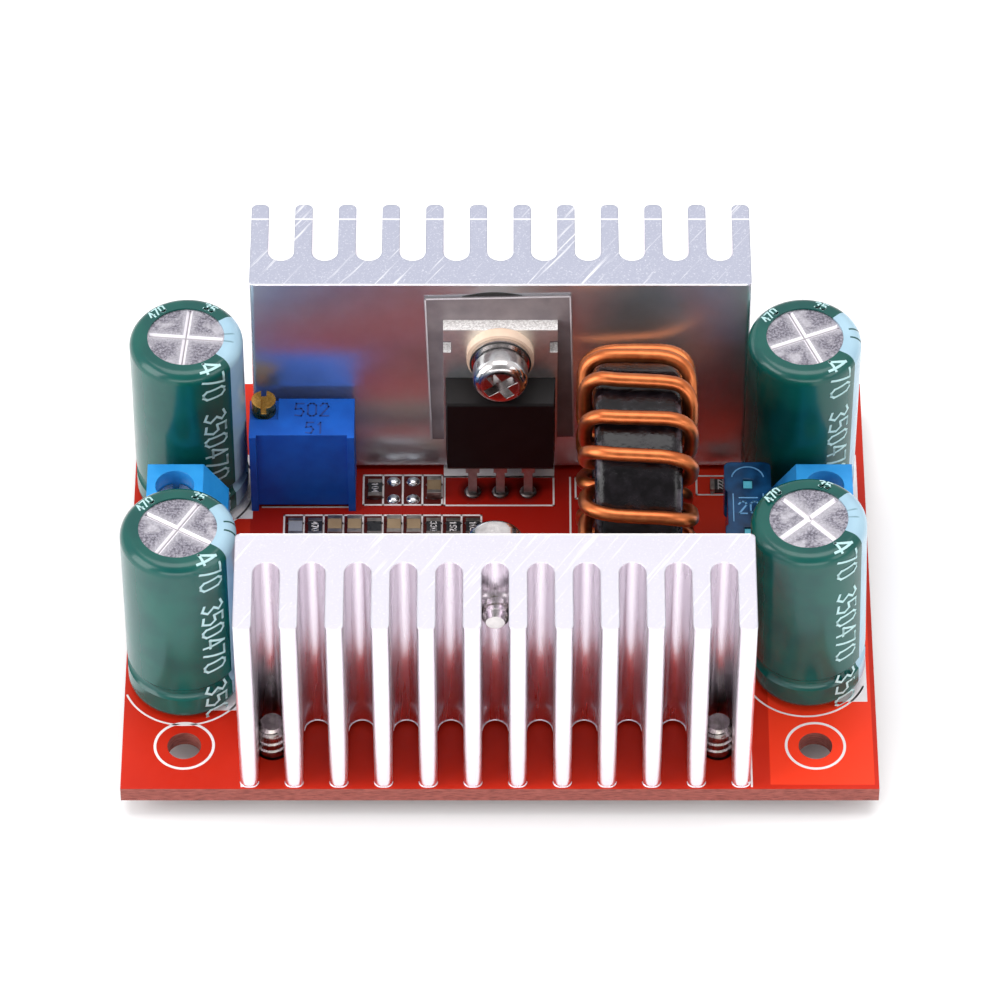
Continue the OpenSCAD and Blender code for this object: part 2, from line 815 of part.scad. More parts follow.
// Half section of the can, grown all round by the sleeve's thickness
module can_section(grow) {
    r = can_diameter / 2 + grow;
    rim = can_round + grow;
    top = can_height + grow;
    difference() {
        intersection() {
            union() {
                translate([0, rim - grow]) square([r, top - 2 * rim + grow]);
                translate([0, -grow]) square([r - rim, top + grow]);
                translate([r - rim, top - rim]) circle(rim);
                translate([r - rim, rim - grow]) circle(rim);
            }
            translate([0, -grow]) square([r, top + grow]);
        }
        translate([can_diameter / 2 + groove_r - groove_depth, groove_height]) circle(groove_r - grow);
    }
}

module can(i, j) {
    color("silver")
        at_cap(i, j)
            translate([0, 0, sleeve_thickness])
                difference() {
                    rotate_extrude() can_section(0);
                    translate([0, 0, -cut]) cylinder(h = seal_height + cut, d = seal_d + 2 * slack);
                    for (a = [0, 90])
                        rotate([0, 0, vent_angles[i][j] + a])
                            translate([0, 0, can_height])
                                vent_groove();
                }
}

// Pressed groove with sloping walls, its mouth at z = 0
module vent_groove() {
    length = bare_disc - 0.3;
    translate([-length / 2, 0, 0])
        rotate([90, 0, 90])
            linear_extrude(length)
                polygon([[-vent_width / 2, slack], [0, -vent_depth], [vent_width / 2, slack]]);
}

module sleeve(i, j) {
    color("seagreen")
        at_cap(i, j)
            translate([0, 0, sleeve_thickness])
                difference() {
                    rotate_extrude() can_section(sleeve_thickness);
                    rotate_extrude() can_section(0);
                    translate([0, 0, can_height - cut]) cylinder(h = 2 * cut, d = bare_disc);
                    translate([0, 0, -2 * cut]) cylinder(h = 4 * cut, d = seal_d + 2 * slack);
                }
}

module capacitor_seals() {
    color("dimgray")
        for (i = [0, 1], j = [0, 1])
            at_cap(i, j)
                difference() {
                    cylinder(h = seal_height + sleeve_thickness, d = seal_d);
                    for (k = [-1, 1])
                        translate([k * cap_lead_pitch / 2, 0, -cut])
                            cylinder(h = seal_height + 3 * cut, d = cap_lead_d + 2 * seal_play);
                }
}

module capacitor_leads() {
    color("silver")
        for (i = [0, 1], j = [0, 1], k = [-1, 1])
            translate(concat(cap_lead_place(i, j, k), board_top - lead_drop))
                cylinder(h = lead_drop + cap_lead_top(i, j, k), d = cap_lead_d);
}

// Terminal blocks

module terminal_housing(side) {
    color("deepskyblue")
        at_terminal(side)
            difference() {
                translate([0, pole_pitch, 0])
                    rotate([90, 0, 0])
                        linear_extrude(2 * pole_pitch)
                            polygon([
                                [0, 0], [-terminal_draft, terminal_height],
                                [-terminal_draft - terminal_top, terminal_height],
                                [-terminal_depth, terminal_height - terminal_slope_drop],
                                [-terminal_depth, 0]
                            ]);
                for (pole = [-1, 1])
                    translate([0, pole * pole_pitch / 2, 0])
                        terminal_pocket();
                block([2 * pole_groove, 2 * pole_groove, 2 * terminal_height], [0, 0, -cut]);
            }
}

// Hollow of one pole: cage pocket open below, wire entry, screw bore and the ledge under the screw's head
module terminal_pocket() {
    block([wall_x - pocket_back, pocket_width, pocket_top + cut], [(wall_x + pocket_back) / 2, 0, -cut]);
    block([-wall_x + 2 * cut, entry_width, entry_height], [wall_x / 2, 0, entry_floor]);
    translate([clamp_x, 0, 0]) {
        cylinder(h = terminal_height, d = clamp_screw_d + 2 * running);
        translate([0, 0, pocket_top + ledge]) cylinder(h = terminal_height, d = clamp_head_d + 4 * running);
    }
}

// Slotted clamp screw, held by its head and turning in the cage's thread
module clamp_screw(side, pole) {
    seat = pocket_top + ledge + running;
    color("lightsteelblue")
        at_terminal(side)
            translate([clamp_x, pole * pole_pitch / 2, 0])
                difference() {
                    union() {
                        translate([0, 0, seat]) cylinder(h = clamp_head_h, d = clamp_head_d);
                        translate([0, 0, clamp_tip])
                            cylinder(h = seat - clamp_tip + running, d = clamp_screw_d);
                    }
                    block([0.6, 2 * clamp_head_d, clamp_head_h], [0, 0, seat + clamp_head_h / 2]);
                }
}

// Square clamp cage that rises as its screw turns, bored down to below the screw's tip at full rise
module clamp_cage(side, pole) {
    color("khaki")
        at_terminal(side)
            translate([clamp_x, pole * pole_pitch / 2, cage_rest])
                difference() {
                    block([cage_length, cage_width, cage_height], [0, 0, 0]);
                    block([2 * cage_length, cage_width - 2 * cage_wall, cage_window], [0, 0, cage_wall]);
                    translate([0, 0, cage_bore_floor])
                        cylinder(h = cage_height, d = clamp_screw_d + 2 * running);
                }
}

// Solder pin with the plate that the wire is clamped against
module terminal_pins() {
    reach = clamp_x + cage_length / 2 - pin_x;
    color("silver")
        for (side = [-1, 1], pole = [-1, 1])
            at_terminal(side)
                translate([pin_x - pin_thickness / 2, pole * pole_pitch / 2, 0]) {
                    translate([0, -plate_width / 2, plate_z]) cube([reach, plate_width, plate_h]);
                    translate([0, -pin_width / 2, -lead_drop])
                        cube([pin_thickness, pin_width, lead_drop + plate_z]);
                }
}

// Trimmers

module trimmer_housing(side) {
    size = [trimmer_length, trimmer_thickness, trimmer_height];
    panel = trimmer_length - 2 * trimmer_post;
    color("royalblue")
        at_trimmer(side)
            difference() {
                block(size, [0, 0, 0]);
                block([panel, 2 * trimmer_recess, 2 * trimmer_height], [0, -trimmer_thickness / 2, -cut]);
                block([panel, 2 * trimmer_thickness, trimmer_foot + cut], [0, 0, -cut]);
                block([2 * trimmer_length, trimmer_thickness - 2 * trimmer_post, trimmer_foot + cut],
                    [0, 0, -cut]);
                block([2 * adjuster_corner.x, 2 * adjuster_corner.y, 2 * adjuster_step],
                    [-trimmer_length / 2, trimmer_thickness / 2, adjuster_seat]);
                translate([adjuster_x, adjuster_y, adjuster_seat - adjuster_depth - running])
                    cylinder(h = 2 * adjuster_depth, d = adjuster_shank + 2 * running);
            }
}

module trimmer_screw(side) {
    color("goldenrod")
        at_trimmer(side)
            translate([adjuster_x, adjuster_y, adjuster_seat + running])
                difference() {
                    union() {
                        cylinder(h = adjuster_h, d = adjuster_d);
                        translate([0, 0, -adjuster_depth])
                            cylinder(h = adjuster_depth + cut, d = adjuster_shank);
                    }
                    block([0.5, 2 * adjuster_d, adjuster_h], [0, 0, adjuster_h * 0.5]);
                }
}

module trimmer_pins() {
    color("silver")
        for (side = [-1, 1], k = [-1:1])
            at_trimmer(side)
                translate([k * trimmer_pin_pitch, 0, -lead_drop])
                    cylinder(h = lead_drop + trimmer_foot, d = trimmer_pin_d);
}

// Fuse

module fuse_housing() {
    skirt = [fuse_thickness - 2 * fuse_skirt_inset, fuse_length - 4 * fuse_skirt_inset];
    color("steelblue")
        at_fuse()
            difference() {
                union() {
                    for (y = [-1, 1])
                        translate([0, y * (fuse_length - fuse_end) / 2, fuse_height - fuse_head])
                            linear_extrude(fuse_head)
                                rounded_rectangle([fuse_thickness, fuse_end], fuse_round);
                    block([fuse_thickness - 2 * fuse_waist, fuse_length - fuse_end, fuse_head],
                        [0, 0, fuse_height - fuse_head]);
                    translate([0, 0, fuse_seat])
                        linear_extrude(fuse_height - fuse_seat - cut) rounded_rectangle(skirt, fuse_round);
                }
                blade_outline(blade_play);
                for (y = [-1, 1])
                    block([fuse_window.x, fuse_window.y, fuse_height],
                        [0, y * (fuse_length / 2 - window_inset), blade_top - cut]);
            }
}

// Two blades joined by the melting bridge, grown all round by a play
module blade_outline(play) {
    thick = blade_thickness + 2 * play;
    for (y = [-1, 1])
        translate([0, y * blade_pitch / 2, -lead_drop - play])
            blade_block(play, blade_top + lead_drop + 2 * play);
    block([thick, blade_pitch, element_height + 2 * play], [0, 0, blade_top - element_height - play]);
}

module blade_block(play, height) {
    block([blade_thickness + 2 * play, blade_width + 2 * play, height], [0, 0, 0]);
}

module fuse_blades() {
    color("silver") at_fuse() blade_outline(0);
}

// Chip parts on the board

function chip_row(kinds, x, y) =
    [for (i = [0:len(kinds) - 1]) [x + (i + 0.5) * chip_pitch, y, kinds[i], 0]];

chips = concat(
    chip_row(front_row, front_row_x, front_row_y),
    chip_row(rear_row, rear_row_x, rear_row_y),
    lone_chips
);

// Places a piece on one chip's middle, its length along local Y
module at_chip(chip) {
    translate([chip.x, chip.y, board_top]) rotate([0, 0, chip[3]]) children();
}

function chip_height(kind) = kind == "r" ? resistor_height : capacitor_height;

module chip_bodies(kind) {
    for (chip = chips)
        if (chip.z == kind)
            at_chip(chip) block([chip_width, chip_length - 2 * chip_end, chip_height(kind)], [0, 0, 0]);
}

module chip_resistors() {
    color("black") chip_bodies("r");
}

module chip_capacitors() {
    color("tan") chip_bodies("c");
}

module chip_end_caps() {
    color("silver")
        for (chip = chips, y = [-1, 1])
            if (chip.z != " ")
                at_chip(chip)
                    block([chip_width + 0.06, chip_end, chip_height(chip.z) + 0.03],
                        [0, y * (chip_length - chip_end) / 2, 0]);
}

// Controller chip

module controller_body() {
    color("black")
        on_board()
            block([controller_length, controller_width, controller_height],
                [controller_x, controller_y, controller_stand]);
}

module controller_legs() {
    mid = controller_stand + controller_height / 2;
    t = controller_leg.y;
    color("silver")
        on_board()
            for (side = [-1, 1], k = [-1.5:1.5])
                translate([controller_x + k * controller_pitch - controller_leg.x / 2, controller_y, 0])
                    mirror([0, side > 0 ? 0 : 1, 0])
                        translate([0, controller_width / 2, 0])
                            rotate([90, 0, 90])
                                linear_extrude(controller_leg.x)
                                    polygon([
                                        [0, mid], [0.45, mid], [0.6, t], [1.1, t], [1.1, 0], [0.4, 0],
                                        [0.25, mid - t], [0, mid - t]
                                    ]);
}

circuit_board();
heatsink(-1);  // front_heatsink
heatsink(1);  // rear_heatsink
heatsink_screws();
device_body(-1);  // front_device_body
device_tab(-1);  // front_device_tab
device_legs(-1);  // front_device_legs
device_screw(-1);  // front_device_screw
device_flat_washer(-1);  // front_flat_washer
device_spring_washer(-1);  // front_spring_washer
device_body(1);  // rear_device_body
device_tab(1);  // rear_device_tab
device_legs(1);  // rear_device_legs
device_screw(1);  // rear_device_screw
rear_insulating_pad();
rear_insulating_bush();
device_flat_washer(1);  // rear_flat_washer
device_spring_washer(1);  // rear_spring_washer
inductor_core();
inductor_winding();
can(0, 0);  // front_left_can
can(1, 0);  // front_right_can
can(0, 1);  // rear_left_can
can(1, 1);  // rear_right_can
sleeve(0, 0);  // front_left_sleeve
sleeve(1, 0);  // front_right_sleeve
sleeve(0, 1);  // rear_left_sleeve
sleeve(1, 1);  // rear_right_sleeve
capacitor_seals();
capacitor_leads();
terminal_housing(-1);  // left_terminal_housing
terminal_housing(1);  // right_terminal_housing
terminal_pins();
clamp_screw(-1, 1);  // left_front_clamp_screw
clamp_screw(-1, -1);  // left_rear_clamp_screw
clamp_screw(1, -1);  // right_front_clamp_screw
clamp_screw(1, 1);  // right_rear_clamp_screw
clamp_cage(-1, 1);  // left_front_clamp_cage
clamp_cage(-1, -1);  // left_rear_clamp_cage
clamp_cage(1, -1);  // right_front_clamp_cage
clamp_cage(1, 1);  // right_rear_clamp_cage
trimmer_housing(1);  // rear_trimmer_housing
trimmer_housing(-1);  // front_trimmer_housing
trimmer_screw(1);  // rear_trimmer_screw
trimmer_screw(-1);  // front_trimmer_screw
trimmer_pins();
fuse_housing();
fuse_blades();
chip_resistors();
chip_capacitors();
chip_end_caps();
controller_body();
controller_legs();
solder_joints();
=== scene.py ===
# Looks of a step-up converter module: camera, light and floor, materials for every solid, and the
# fine detail that the solids leave out, such as threads, board print and the smooth copper winding.
import json
import math

import bmesh
import bpy
from mathutils import Matrix, Vector


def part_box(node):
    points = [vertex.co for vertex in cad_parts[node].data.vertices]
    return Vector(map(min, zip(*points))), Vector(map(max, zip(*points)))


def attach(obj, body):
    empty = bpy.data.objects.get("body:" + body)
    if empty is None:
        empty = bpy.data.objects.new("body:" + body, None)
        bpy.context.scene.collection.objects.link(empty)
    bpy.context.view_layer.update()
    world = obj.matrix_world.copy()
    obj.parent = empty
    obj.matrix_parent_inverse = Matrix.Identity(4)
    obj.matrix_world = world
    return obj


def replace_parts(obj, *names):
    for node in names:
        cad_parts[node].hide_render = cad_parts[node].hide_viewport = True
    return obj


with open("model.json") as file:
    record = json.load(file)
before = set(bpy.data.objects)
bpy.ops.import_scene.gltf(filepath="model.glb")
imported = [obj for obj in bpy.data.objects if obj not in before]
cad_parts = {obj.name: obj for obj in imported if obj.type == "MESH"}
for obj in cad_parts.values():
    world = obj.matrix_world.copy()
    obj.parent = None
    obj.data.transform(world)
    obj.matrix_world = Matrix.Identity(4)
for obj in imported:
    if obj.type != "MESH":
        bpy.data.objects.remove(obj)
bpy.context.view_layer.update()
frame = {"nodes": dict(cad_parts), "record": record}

NODES = frame["nodes"]
ROOT = "module"
MM = 0.001
UP = Vector((0, 0, 1))

# How far both heatsinks lean outwards
LEAN = math.radians(3)

# Printed rows of chip cells: left end, front edge, rear edge and number of cells, in millimetres
CELL = 1.8
REAR_ROW = (-12.5, 9.16, 12.78, 4)
FRONT_ROW = (-19.7, 4.3, 7.9, 10)


def srgb(r, g, b):
    """A colour given as screen bytes, as the linear values a shader takes."""
    def linear(v):
        v /= 255
        return v / 12.92 if v <= 0.04045 else ((v + 0.055) / 1.055) ** 2.4
    return (linear(r), linear(g), linear(b), 1.0)


def box_mm(node):
    """Lowest and highest corner of a solid, in millimetres."""
    low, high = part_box(node)
    return Vector(low) / MM, Vector(high) / MM


def middle(node):
    """Middle of a solid's box, in millimetres."""
    low, high = box_mm(node)
    return (low + high) / 2


def solids(node):
    """Lowest and highest corner of each separate solid of a node, in millimetres, from left to right."""
    bm = bmesh.new()
    bm.from_mesh(NODES[node].data)
    bmesh.ops.remove_doubles(bm, verts=bm.verts, dist=1e-7)
    left = set(bm.verts)
    boxes = []
    while left:
        open_ends = [left.pop()]
        group = list(open_ends)
        while open_ends:
            for edge in open_ends.pop().link_edges:
                for vert in edge.verts:
                    if vert in left:
                        left.remove(vert)
                        open_ends.append(vert)
                        group.append(vert)
        low = Vector([min(v.co[i] for v in group) for i in range(3)]) / MM
        high = Vector([max(v.co[i] for v in group) for i in range(3)]) / MM
        boxes.append((low, high))
    bm.free()
    return sorted(boxes, key=lambda box: tuple(box[0]))


# Camera, light and floor

# The camera's place in millimetres, its pitch below level in degrees and its lens in millimetres
CAMERA_AT = (0.015, -386.8, 455.84)
CAMERA_PITCH = 48.74
CAMERA_LENS = 236.24


def add_camera():
    """A long lens that looks down on the module from the front."""
    data = bpy.data.cameras.new("camera")
    data.sensor_fit = "HORIZONTAL"
    data.sensor_width = 36
    data.lens = CAMERA_LENS
    data.clip_start = 0.01
    data.clip_end = 20
    camera = bpy.data.objects.new("camera", data)
    camera.location = Vector(CAMERA_AT) * MM
    camera.rotation_euler = (math.radians(90 - CAMERA_PITCH), 0, 0)
    bpy.context.collection.objects.link(camera)
    bpy.context.scene.camera = camera


def add_area_light(name, at, target, size, watts):
    """A soft rectangular lamp, with its place and size in metres."""
    data = bpy.data.lights.new(name, "AREA")
    data.shape = "RECTANGLE"
    data.size, data.size_y = size
    data.energy = watts
    light = bpy.data.objects.new(name, data)
    light.location = at
    light.rotation_euler = (Vector(target) - Vector(at)).to_track_quat("-Z", "Y").to_euler()
    bpy.context.collection.objects.link(light)


def add_world(strength):
    """A light tent: nearly even white all round, a little dimmer low down and round the camera."""
    horizon, round_camera = 0.72, 0.35
    camera_side = Vector((0, -0.7, 0.72)).normalized()
    world = bpy.data.worlds.new("studio")
    world.use_nodes = True
    nodes, links = world.node_tree.nodes, world.node_tree.links
    coord = nodes.new("ShaderNodeTexCoord")
    split = nodes.new("ShaderNodeSeparateXYZ")
    low = nodes.new("ShaderNodeMapRange")
    low.inputs["From Max"].default_value = 0.75
    low.inputs["To Min"].default_value = horizon
    toward = nodes.new("ShaderNodeVectorMath")
    toward.operation = "DOT_PRODUCT"
    toward.inputs[1].default_value = camera_side
    dim = nodes.new("ShaderNodeMapRange")
    dim.inputs["From Min"].default_value = 0.80
    dim.inputs["From Max"].default_value = 0.95
    dim.inputs["To Min"].default_value = strength
    dim.inputs["To Max"].default_value = strength * round_camera
    both = nodes.new("ShaderNodeMath")
    both.operation = "MULTIPLY"
    links.new(coord.outputs["Generated"], split.inputs[0])
    links.new(split.outputs["Z"], low.inputs["Value"])
    links.new(coord.outputs["Generated"], toward.inputs[0])
    links.new(toward.outputs["Value"], dim.inputs["Value"])
    links.new(low.outputs[0], both.inputs[0])
    links.new(dim.outputs[0], both.inputs[1])
    background = nodes["Background"]
    background.inputs["Color"].default_value = (1, 0.99, 1, 1)
    links.new(both.outputs[0], background.inputs["Strength"])
    bpy.context.scene.world = world


def add_floor():
    """A wide white floor, just under the feet of the module."""
    half, drop = 3.0, 0.00002
    bm = bmesh.new()
    bmesh.ops.create_grid(bm, x_segments=1, y_segments=1, size=half)
    mesh = bpy.data.meshes.new("floor")
    bm.to_mesh(mesh)
    bm.free()
    floor = bpy.data.objects.new("floor", mesh)
    floor.location = (0, 0, -drop)
    bpy.context.collection.objects.link(floor)
    t = Tree("floor_white")
    t.set(Base_Color=(0.94, 0.94, 0.94, 1), Roughness=0.9, Specular_IOR_Level=0.1)
    mesh.materials.append(t.mat)


# Materials

class Tree:
    """A new material's nodes, with short calls to add and join them."""

    def __init__(self, name):
        self.mat = bpy.data.materials.new(name)
        self.mat.use_nodes = True
        self.nodes = self.mat.node_tree.nodes
        self.links = self.mat.node_tree.links
        self.shader = self.nodes["Principled BSDF"]

    def feed(self, socket, value):
        """Links a socket to another one, or sets its plain value."""
        if isinstance(value, bpy.types.NodeSocket):
            self.links.new(value, socket)
        else:
            socket.default_value = value

    def add(self, kind, inputs=None, **props):
        node = self.nodes.new("ShaderNode" + kind)
        for key, value in props.items():
            setattr(node, key, value)
        for key, value in (inputs or {}).items():
            self.feed(node.inputs[key], value)
        return node

    def set(self, **sockets):
        """Sets the shader's own sockets; an underscore stands for a space."""
        for key, value in sockets.items():
            self.feed(self.shader.inputs[key.replace("_", " ")], value)
        return self

    def mm(self):
        """The place on the object, in millimetres."""
        coord = self.add("TexCoord")
        scaled = self.add("VectorMath", {0: coord.outputs["Object"], "Scale": 1 / MM}, operation="SCALE")
        return scaled.outputs[0]

    def normal(self):
        """The surface's own normal, split into X, Y and Z."""
        return self.split(self.add("NewGeometry").outputs["Normal"])

    def split(self, vector):
        return self.add("SeparateXYZ", {0: vector}).outputs

    def mapped(self, vector, scale, turn=0.0, shift=(0, 0, 0)):
        """A place shifted, turned about Z by some degrees and then stretched."""
        turned = self.add("Mapping", {"Vector": vector, "Location": shift,
                                      "Rotation": (0, 0, math.radians(turn))})
        return self.add("Mapping", {"Vector": turned.outputs[0], "Scale": scale}).outputs[0]

    def noise(self, vector, scale=1.0, detail=2.0, roughness=0.5):
        node = self.add("TexNoise", {"Vector": vector, "Scale": scale,
                                     "Detail": detail, "Roughness": roughness})
        return node.outputs["Fac"]

    def math(self, operation, a, b=0.0):
        return self.add("Math", {0: a, 1: b}, operation=operation).outputs[0]

    def remap(self, value, low, high, to_low=0.0, to_high=1.0):
        node = self.add("MapRange", {"Value": value, "From Min": low, "From Max": high,
                                     "To Min": to_low, "To Max": to_high})
        return node.outputs[0]

    def between(self, value, low, high, soft=0.05):
        """One between two values and zero outside them, with soft steps."""
        return self.math("MULTIPLY", self.remap(value, low - soft, low + soft),
                         self.remap(value, high - soft, high + soft, 1.0, 0.0))

    def blend(self, factor, a, b):
        """A number that runs from a to b."""
        return self.add("Mix", {0: factor, 2: a, 3: b}).outputs[0]

    def mix(self, factor, a, b):
        """A colour that runs from a to b."""
        node = self.add("Mix", data_type="RGBA")
        self.feed(node.inputs[0], factor)
        self.feed(node.inputs[6], a)
        self.feed(node.inputs[7], b)
        return node.outputs[2]

    def finish(self, height, strength, distance=0.05, edge=0.0):
        """Fine relief, over edges rounded by a radius in millimetres."""
        node = self.add("Bump", {"Height": height, "Strength": strength, "Distance": distance * MM})
        if edge:
            soft = self.add("Bevel", {"Radius": edge * MM}, samples=4)
            self.feed(node.inputs["Normal"], soft.outputs[0])
        self.feed(self.shader.inputs["Normal"], node.outputs[0])
        return self.mat


def plastic(name, color, other, rough, grain=3.0, bump=0.15, edge=0.1, **sockets):
    """Moulded plastic: two close tones in soft clouds over a fine skin."""
    t = Tree(name)
    at = t.mm()
    clouds = t.noise(at, 0.5, 3)
    skin = t.noise(at, grain * 4, 3)
    t.set(Base_Color=t.mix(t.remap(clouds, 0.35, 0.65), color, other))
    t.set(Roughness=t.remap(skin, 0.3, 0.7, rough - 0.06, rough + 0.06), **sockets)
    return t.finish(skin, bump, 0.02, edge)


def metal(name, color, other, rough, bump=0.1):
    """Bare metal: two close tones in small spots, over a fine grain in gloss and relief."""
    t = Tree(name)
    at = t.mm()
    grain = t.noise(at, 4.0, 4, 0.6)
    spots = t.noise(at, 1.3, 3)
    t.set(Metallic=1.0, Base_Color=t.mix(t.remap(spots, 0.35, 0.65), color, other))
    t.set(Roughness=t.remap(grain, 0.3, 0.7, rough - 0.07, rough + 0.07))
    return t.finish(grain, bump, 0.02, 0.06)


# Two tones of a sawn end: the plain cut and the scratches on it
FRONT_CUT = (0.54, 0.525, 0.585, 1), (0.72, 0.71, 0.75, 1)
REAR_CUT = (0.50, 0.52, 0.63, 1), (0.96, 0.96, 0.99, 1)


def sawn_aluminium(name, inner_side, cut_tones, scribed):
    """Extruded aluminium: draw lines up the faces, a duller inner face, and speckled cut ends with
    diagonal scratches and one scribed line across the fins."""
    t = Tree(name)
    at = t.mm()
    facing = t.normal()
    draw = t.noise(t.mapped(at, (2.0, 2.0, 0.03)), 0.6, 2, 0.4)
    speckle = t.noise(at, 6.0, 3, 0.7)
    saw = t.noise(t.mapped(at, (2.6, 0.08, 1), 34), 1.0, 4, 0.6)
    cut = t.remap(t.math("ABSOLUTE", facing["Z"]), 0.7, 0.9)
    inner = t.remap(t.math("MULTIPLY", facing["Y"], inner_side), 0.9, 0.99)
    smudge = t.noise(at, 0.3, 4)
    tone = t.mix(t.remap(draw, 0.36, 0.64), (0.92, 0.865, 0.93, 1), (0.955, 0.90, 0.96, 1))
    marks = t.math("MAXIMUM", t.remap(saw, 0.60, 0.72), t.remap(speckle, 0.55, 0.75, 0, 0.8))
    marks = t.math("MAXIMUM", marks, t.between(t.split(at)["Y"], scribed - 0.1, scribed + 0.1))
    tone = t.mix(cut, tone, t.mix(marks, *cut_tones))
    dull = t.mix(t.remap(smudge, 0.35, 0.65), srgb(222, 228, 232), srgb(232, 238, 242))
    t.set(Metallic=t.remap(inner, 0, 1, 1, 0.9), Base_Color=t.mix(inner, tone, dull))
    gloss = t.blend(cut, t.remap(draw, 0.3, 0.7, 0.25, 0.29), t.remap(speckle, 0.3, 0.7, 0.36, 0.48))
    t.set(Roughness=t.blend(inner, gloss, t.remap(smudge, 0.3, 0.7, 0.28, 0.34)))
    across = t.add("Tangent", direction_type="RADIAL", axis="Z").outputs[0]
    t.set(Anisotropic=t.remap(cut, 0, 1, 0.88, 0), Tangent=across)
    return t.finish(speckle, t.remap(cut, 0, 1, 0, 0.25), 0.03, 0.18)


def tinned_tab():
    """Satin tinned metal, whose faces that look up are whiter as painted highlight."""
    t = Tree("tinned_tab")
    at = t.mm()
    grain = t.noise(at, 5.0, 4, 0.7)
    # Painted highlight: faces that look up get a whiter, less metallic tone
    faces_up_glint = t.remap(t.normal()["Z"], 0.7, 0.9)
    satin = t.mix(t.remap(t.noise(at, 1.3, 3), 0.35, 0.65), srgb(234, 236, 236), srgb(222, 226, 226))
    white = t.mix(t.remap(grain, 0.4, 0.6), srgb(206, 202, 200), srgb(252, 250, 248))
    t.set(Base_Color=t.mix(faces_up_glint, satin, white), Metallic=t.remap(faces_up_glint, 0, 1, 1, 0.25))
    t.set(Roughness=t.remap(grain, 0.3, 0.7, 0.42, 0.54))
    return t.finish(grain, 0.1, 0.02, 0.06)


def chip_glaze():
    """Black glaze on the chip resistors; the first of the front row is plain grey."""
    left, front, rear, _ = FRONT_ROW
    t = Tree("chip_glaze")
    at = t.mm()
    x, y, _ = t.split(at)
    grain = t.noise(at, 3.0, 3)
    black = t.mix(t.remap(grain, 0.35, 0.65), (0.012, 0.012, 0.014, 1), (0.02, 0.02, 0.022, 1))
    first = t.math("MULTIPLY", t.between(x, left - 0.1, left + CELL), t.between(y, front - 0.3, rear + 0.1))
    t.set(Base_Color=t.mix(first, black, srgb(146, 148, 158)))
    t.set(Roughness=t.remap(grain, 0.3, 0.7, 0.26, 0.36))
    return t.finish(grain, 0.05, 0.02)


def solder_mask():
    """Red mask on both faces of the board, in several tones that are partly painted light and shade, and
    laminate on its edges.
    """
    low, high = box_mm("circuit_board")
    behind_sink = -12.6
    t = Tree("board_mask")
    at = t.mm()
    x, y, _ = t.split(at)

    def field(left, right, front, rear):
        """One inside a rectangle on the board and zero outside it."""
        return t.math("MULTIPLY", t.between(x, left, right), t.between(y, front, rear))

    weave = t.noise(at, 2.5, 2)
    clouds = t.noise(at, 0.12, 3)
    red = t.mix(t.remap(clouds, 0.35, 0.65), srgb(186, 33, 12), srgb(198, 39, 15))
    # Copper pour makes the right front bright; right of the inductor the red is raised as painted light,
    # and left of it the red is darker, partly for bare laminate and partly as painted shade
    fields = (((23.9, high.x - 0.4, low.y + 0.5, 0), srgb(238, 58, 28)),
              ((17, 23.8, behind_sink, high.y), srgb(214, 46, 20)),
              ((-22.8, 8.8, behind_sink, high.y), srgb(160, 22, 10)))
    for sides, tone in fields:
        red = t.mix(field(*sides), red, tone)
    for left, front, rear, cells in (FRONT_ROW, REAR_ROW):
        red = t.mix(field(left, left + CELL * cells, front, rear), red, srgb(84, 16, 12))
    # Painted shadow round the foot of each leg of the rear device
    for leg_low, leg_high in solids("rear_device_legs"):
        across = t.math("SUBTRACT", x, (leg_low.x + leg_high.x) / 2)
        along = t.math("SUBTRACT", y, leg_low.y + 0.6)
        away = t.math("ADD", t.math("MULTIPLY", across, across), t.math("MULTIPLY", along, along))
        red = t.mix(t.remap(away, 0.8, 2.2, 0.8, 0), red, srgb(74, 10, 8))
    facing = t.normal()["Z"]
    # Painted shade: the underside is darker, which also keeps its red off the floor under the board
    red = t.mix(t.remap(facing, -0.5, 0.5), srgb(96, 18, 12), red)
    layers = t.noise(t.mapped(at, (0.5, 0.5, 6)), 2, 4, 0.65)
    edge = t.mix(t.remap(layers, 0.35, 0.65), srgb(100, 42, 36), srgb(158, 88, 78))
    face = t.remap(t.math("ABSOLUTE", facing), 0.4, 0.6)
    t.set(Base_Color=t.mix(face, edge, red), Roughness=t.remap(weave, 0.3, 0.7, 0.34, 0.48))
    t.set(Specular_IOR_Level=0.2)
    return t.finish(weave, 0.06, 0.02)


# Turn of the stripe on each sleeve, and how far down its first dash starts
STRIPES = {"front_left_sleeve": (3, 0), "front_right_sleeve": (7, 3.5),
           "rear_left_sleeve": (-2, 3.5), "rear_right_sleeve": (6, 0)}


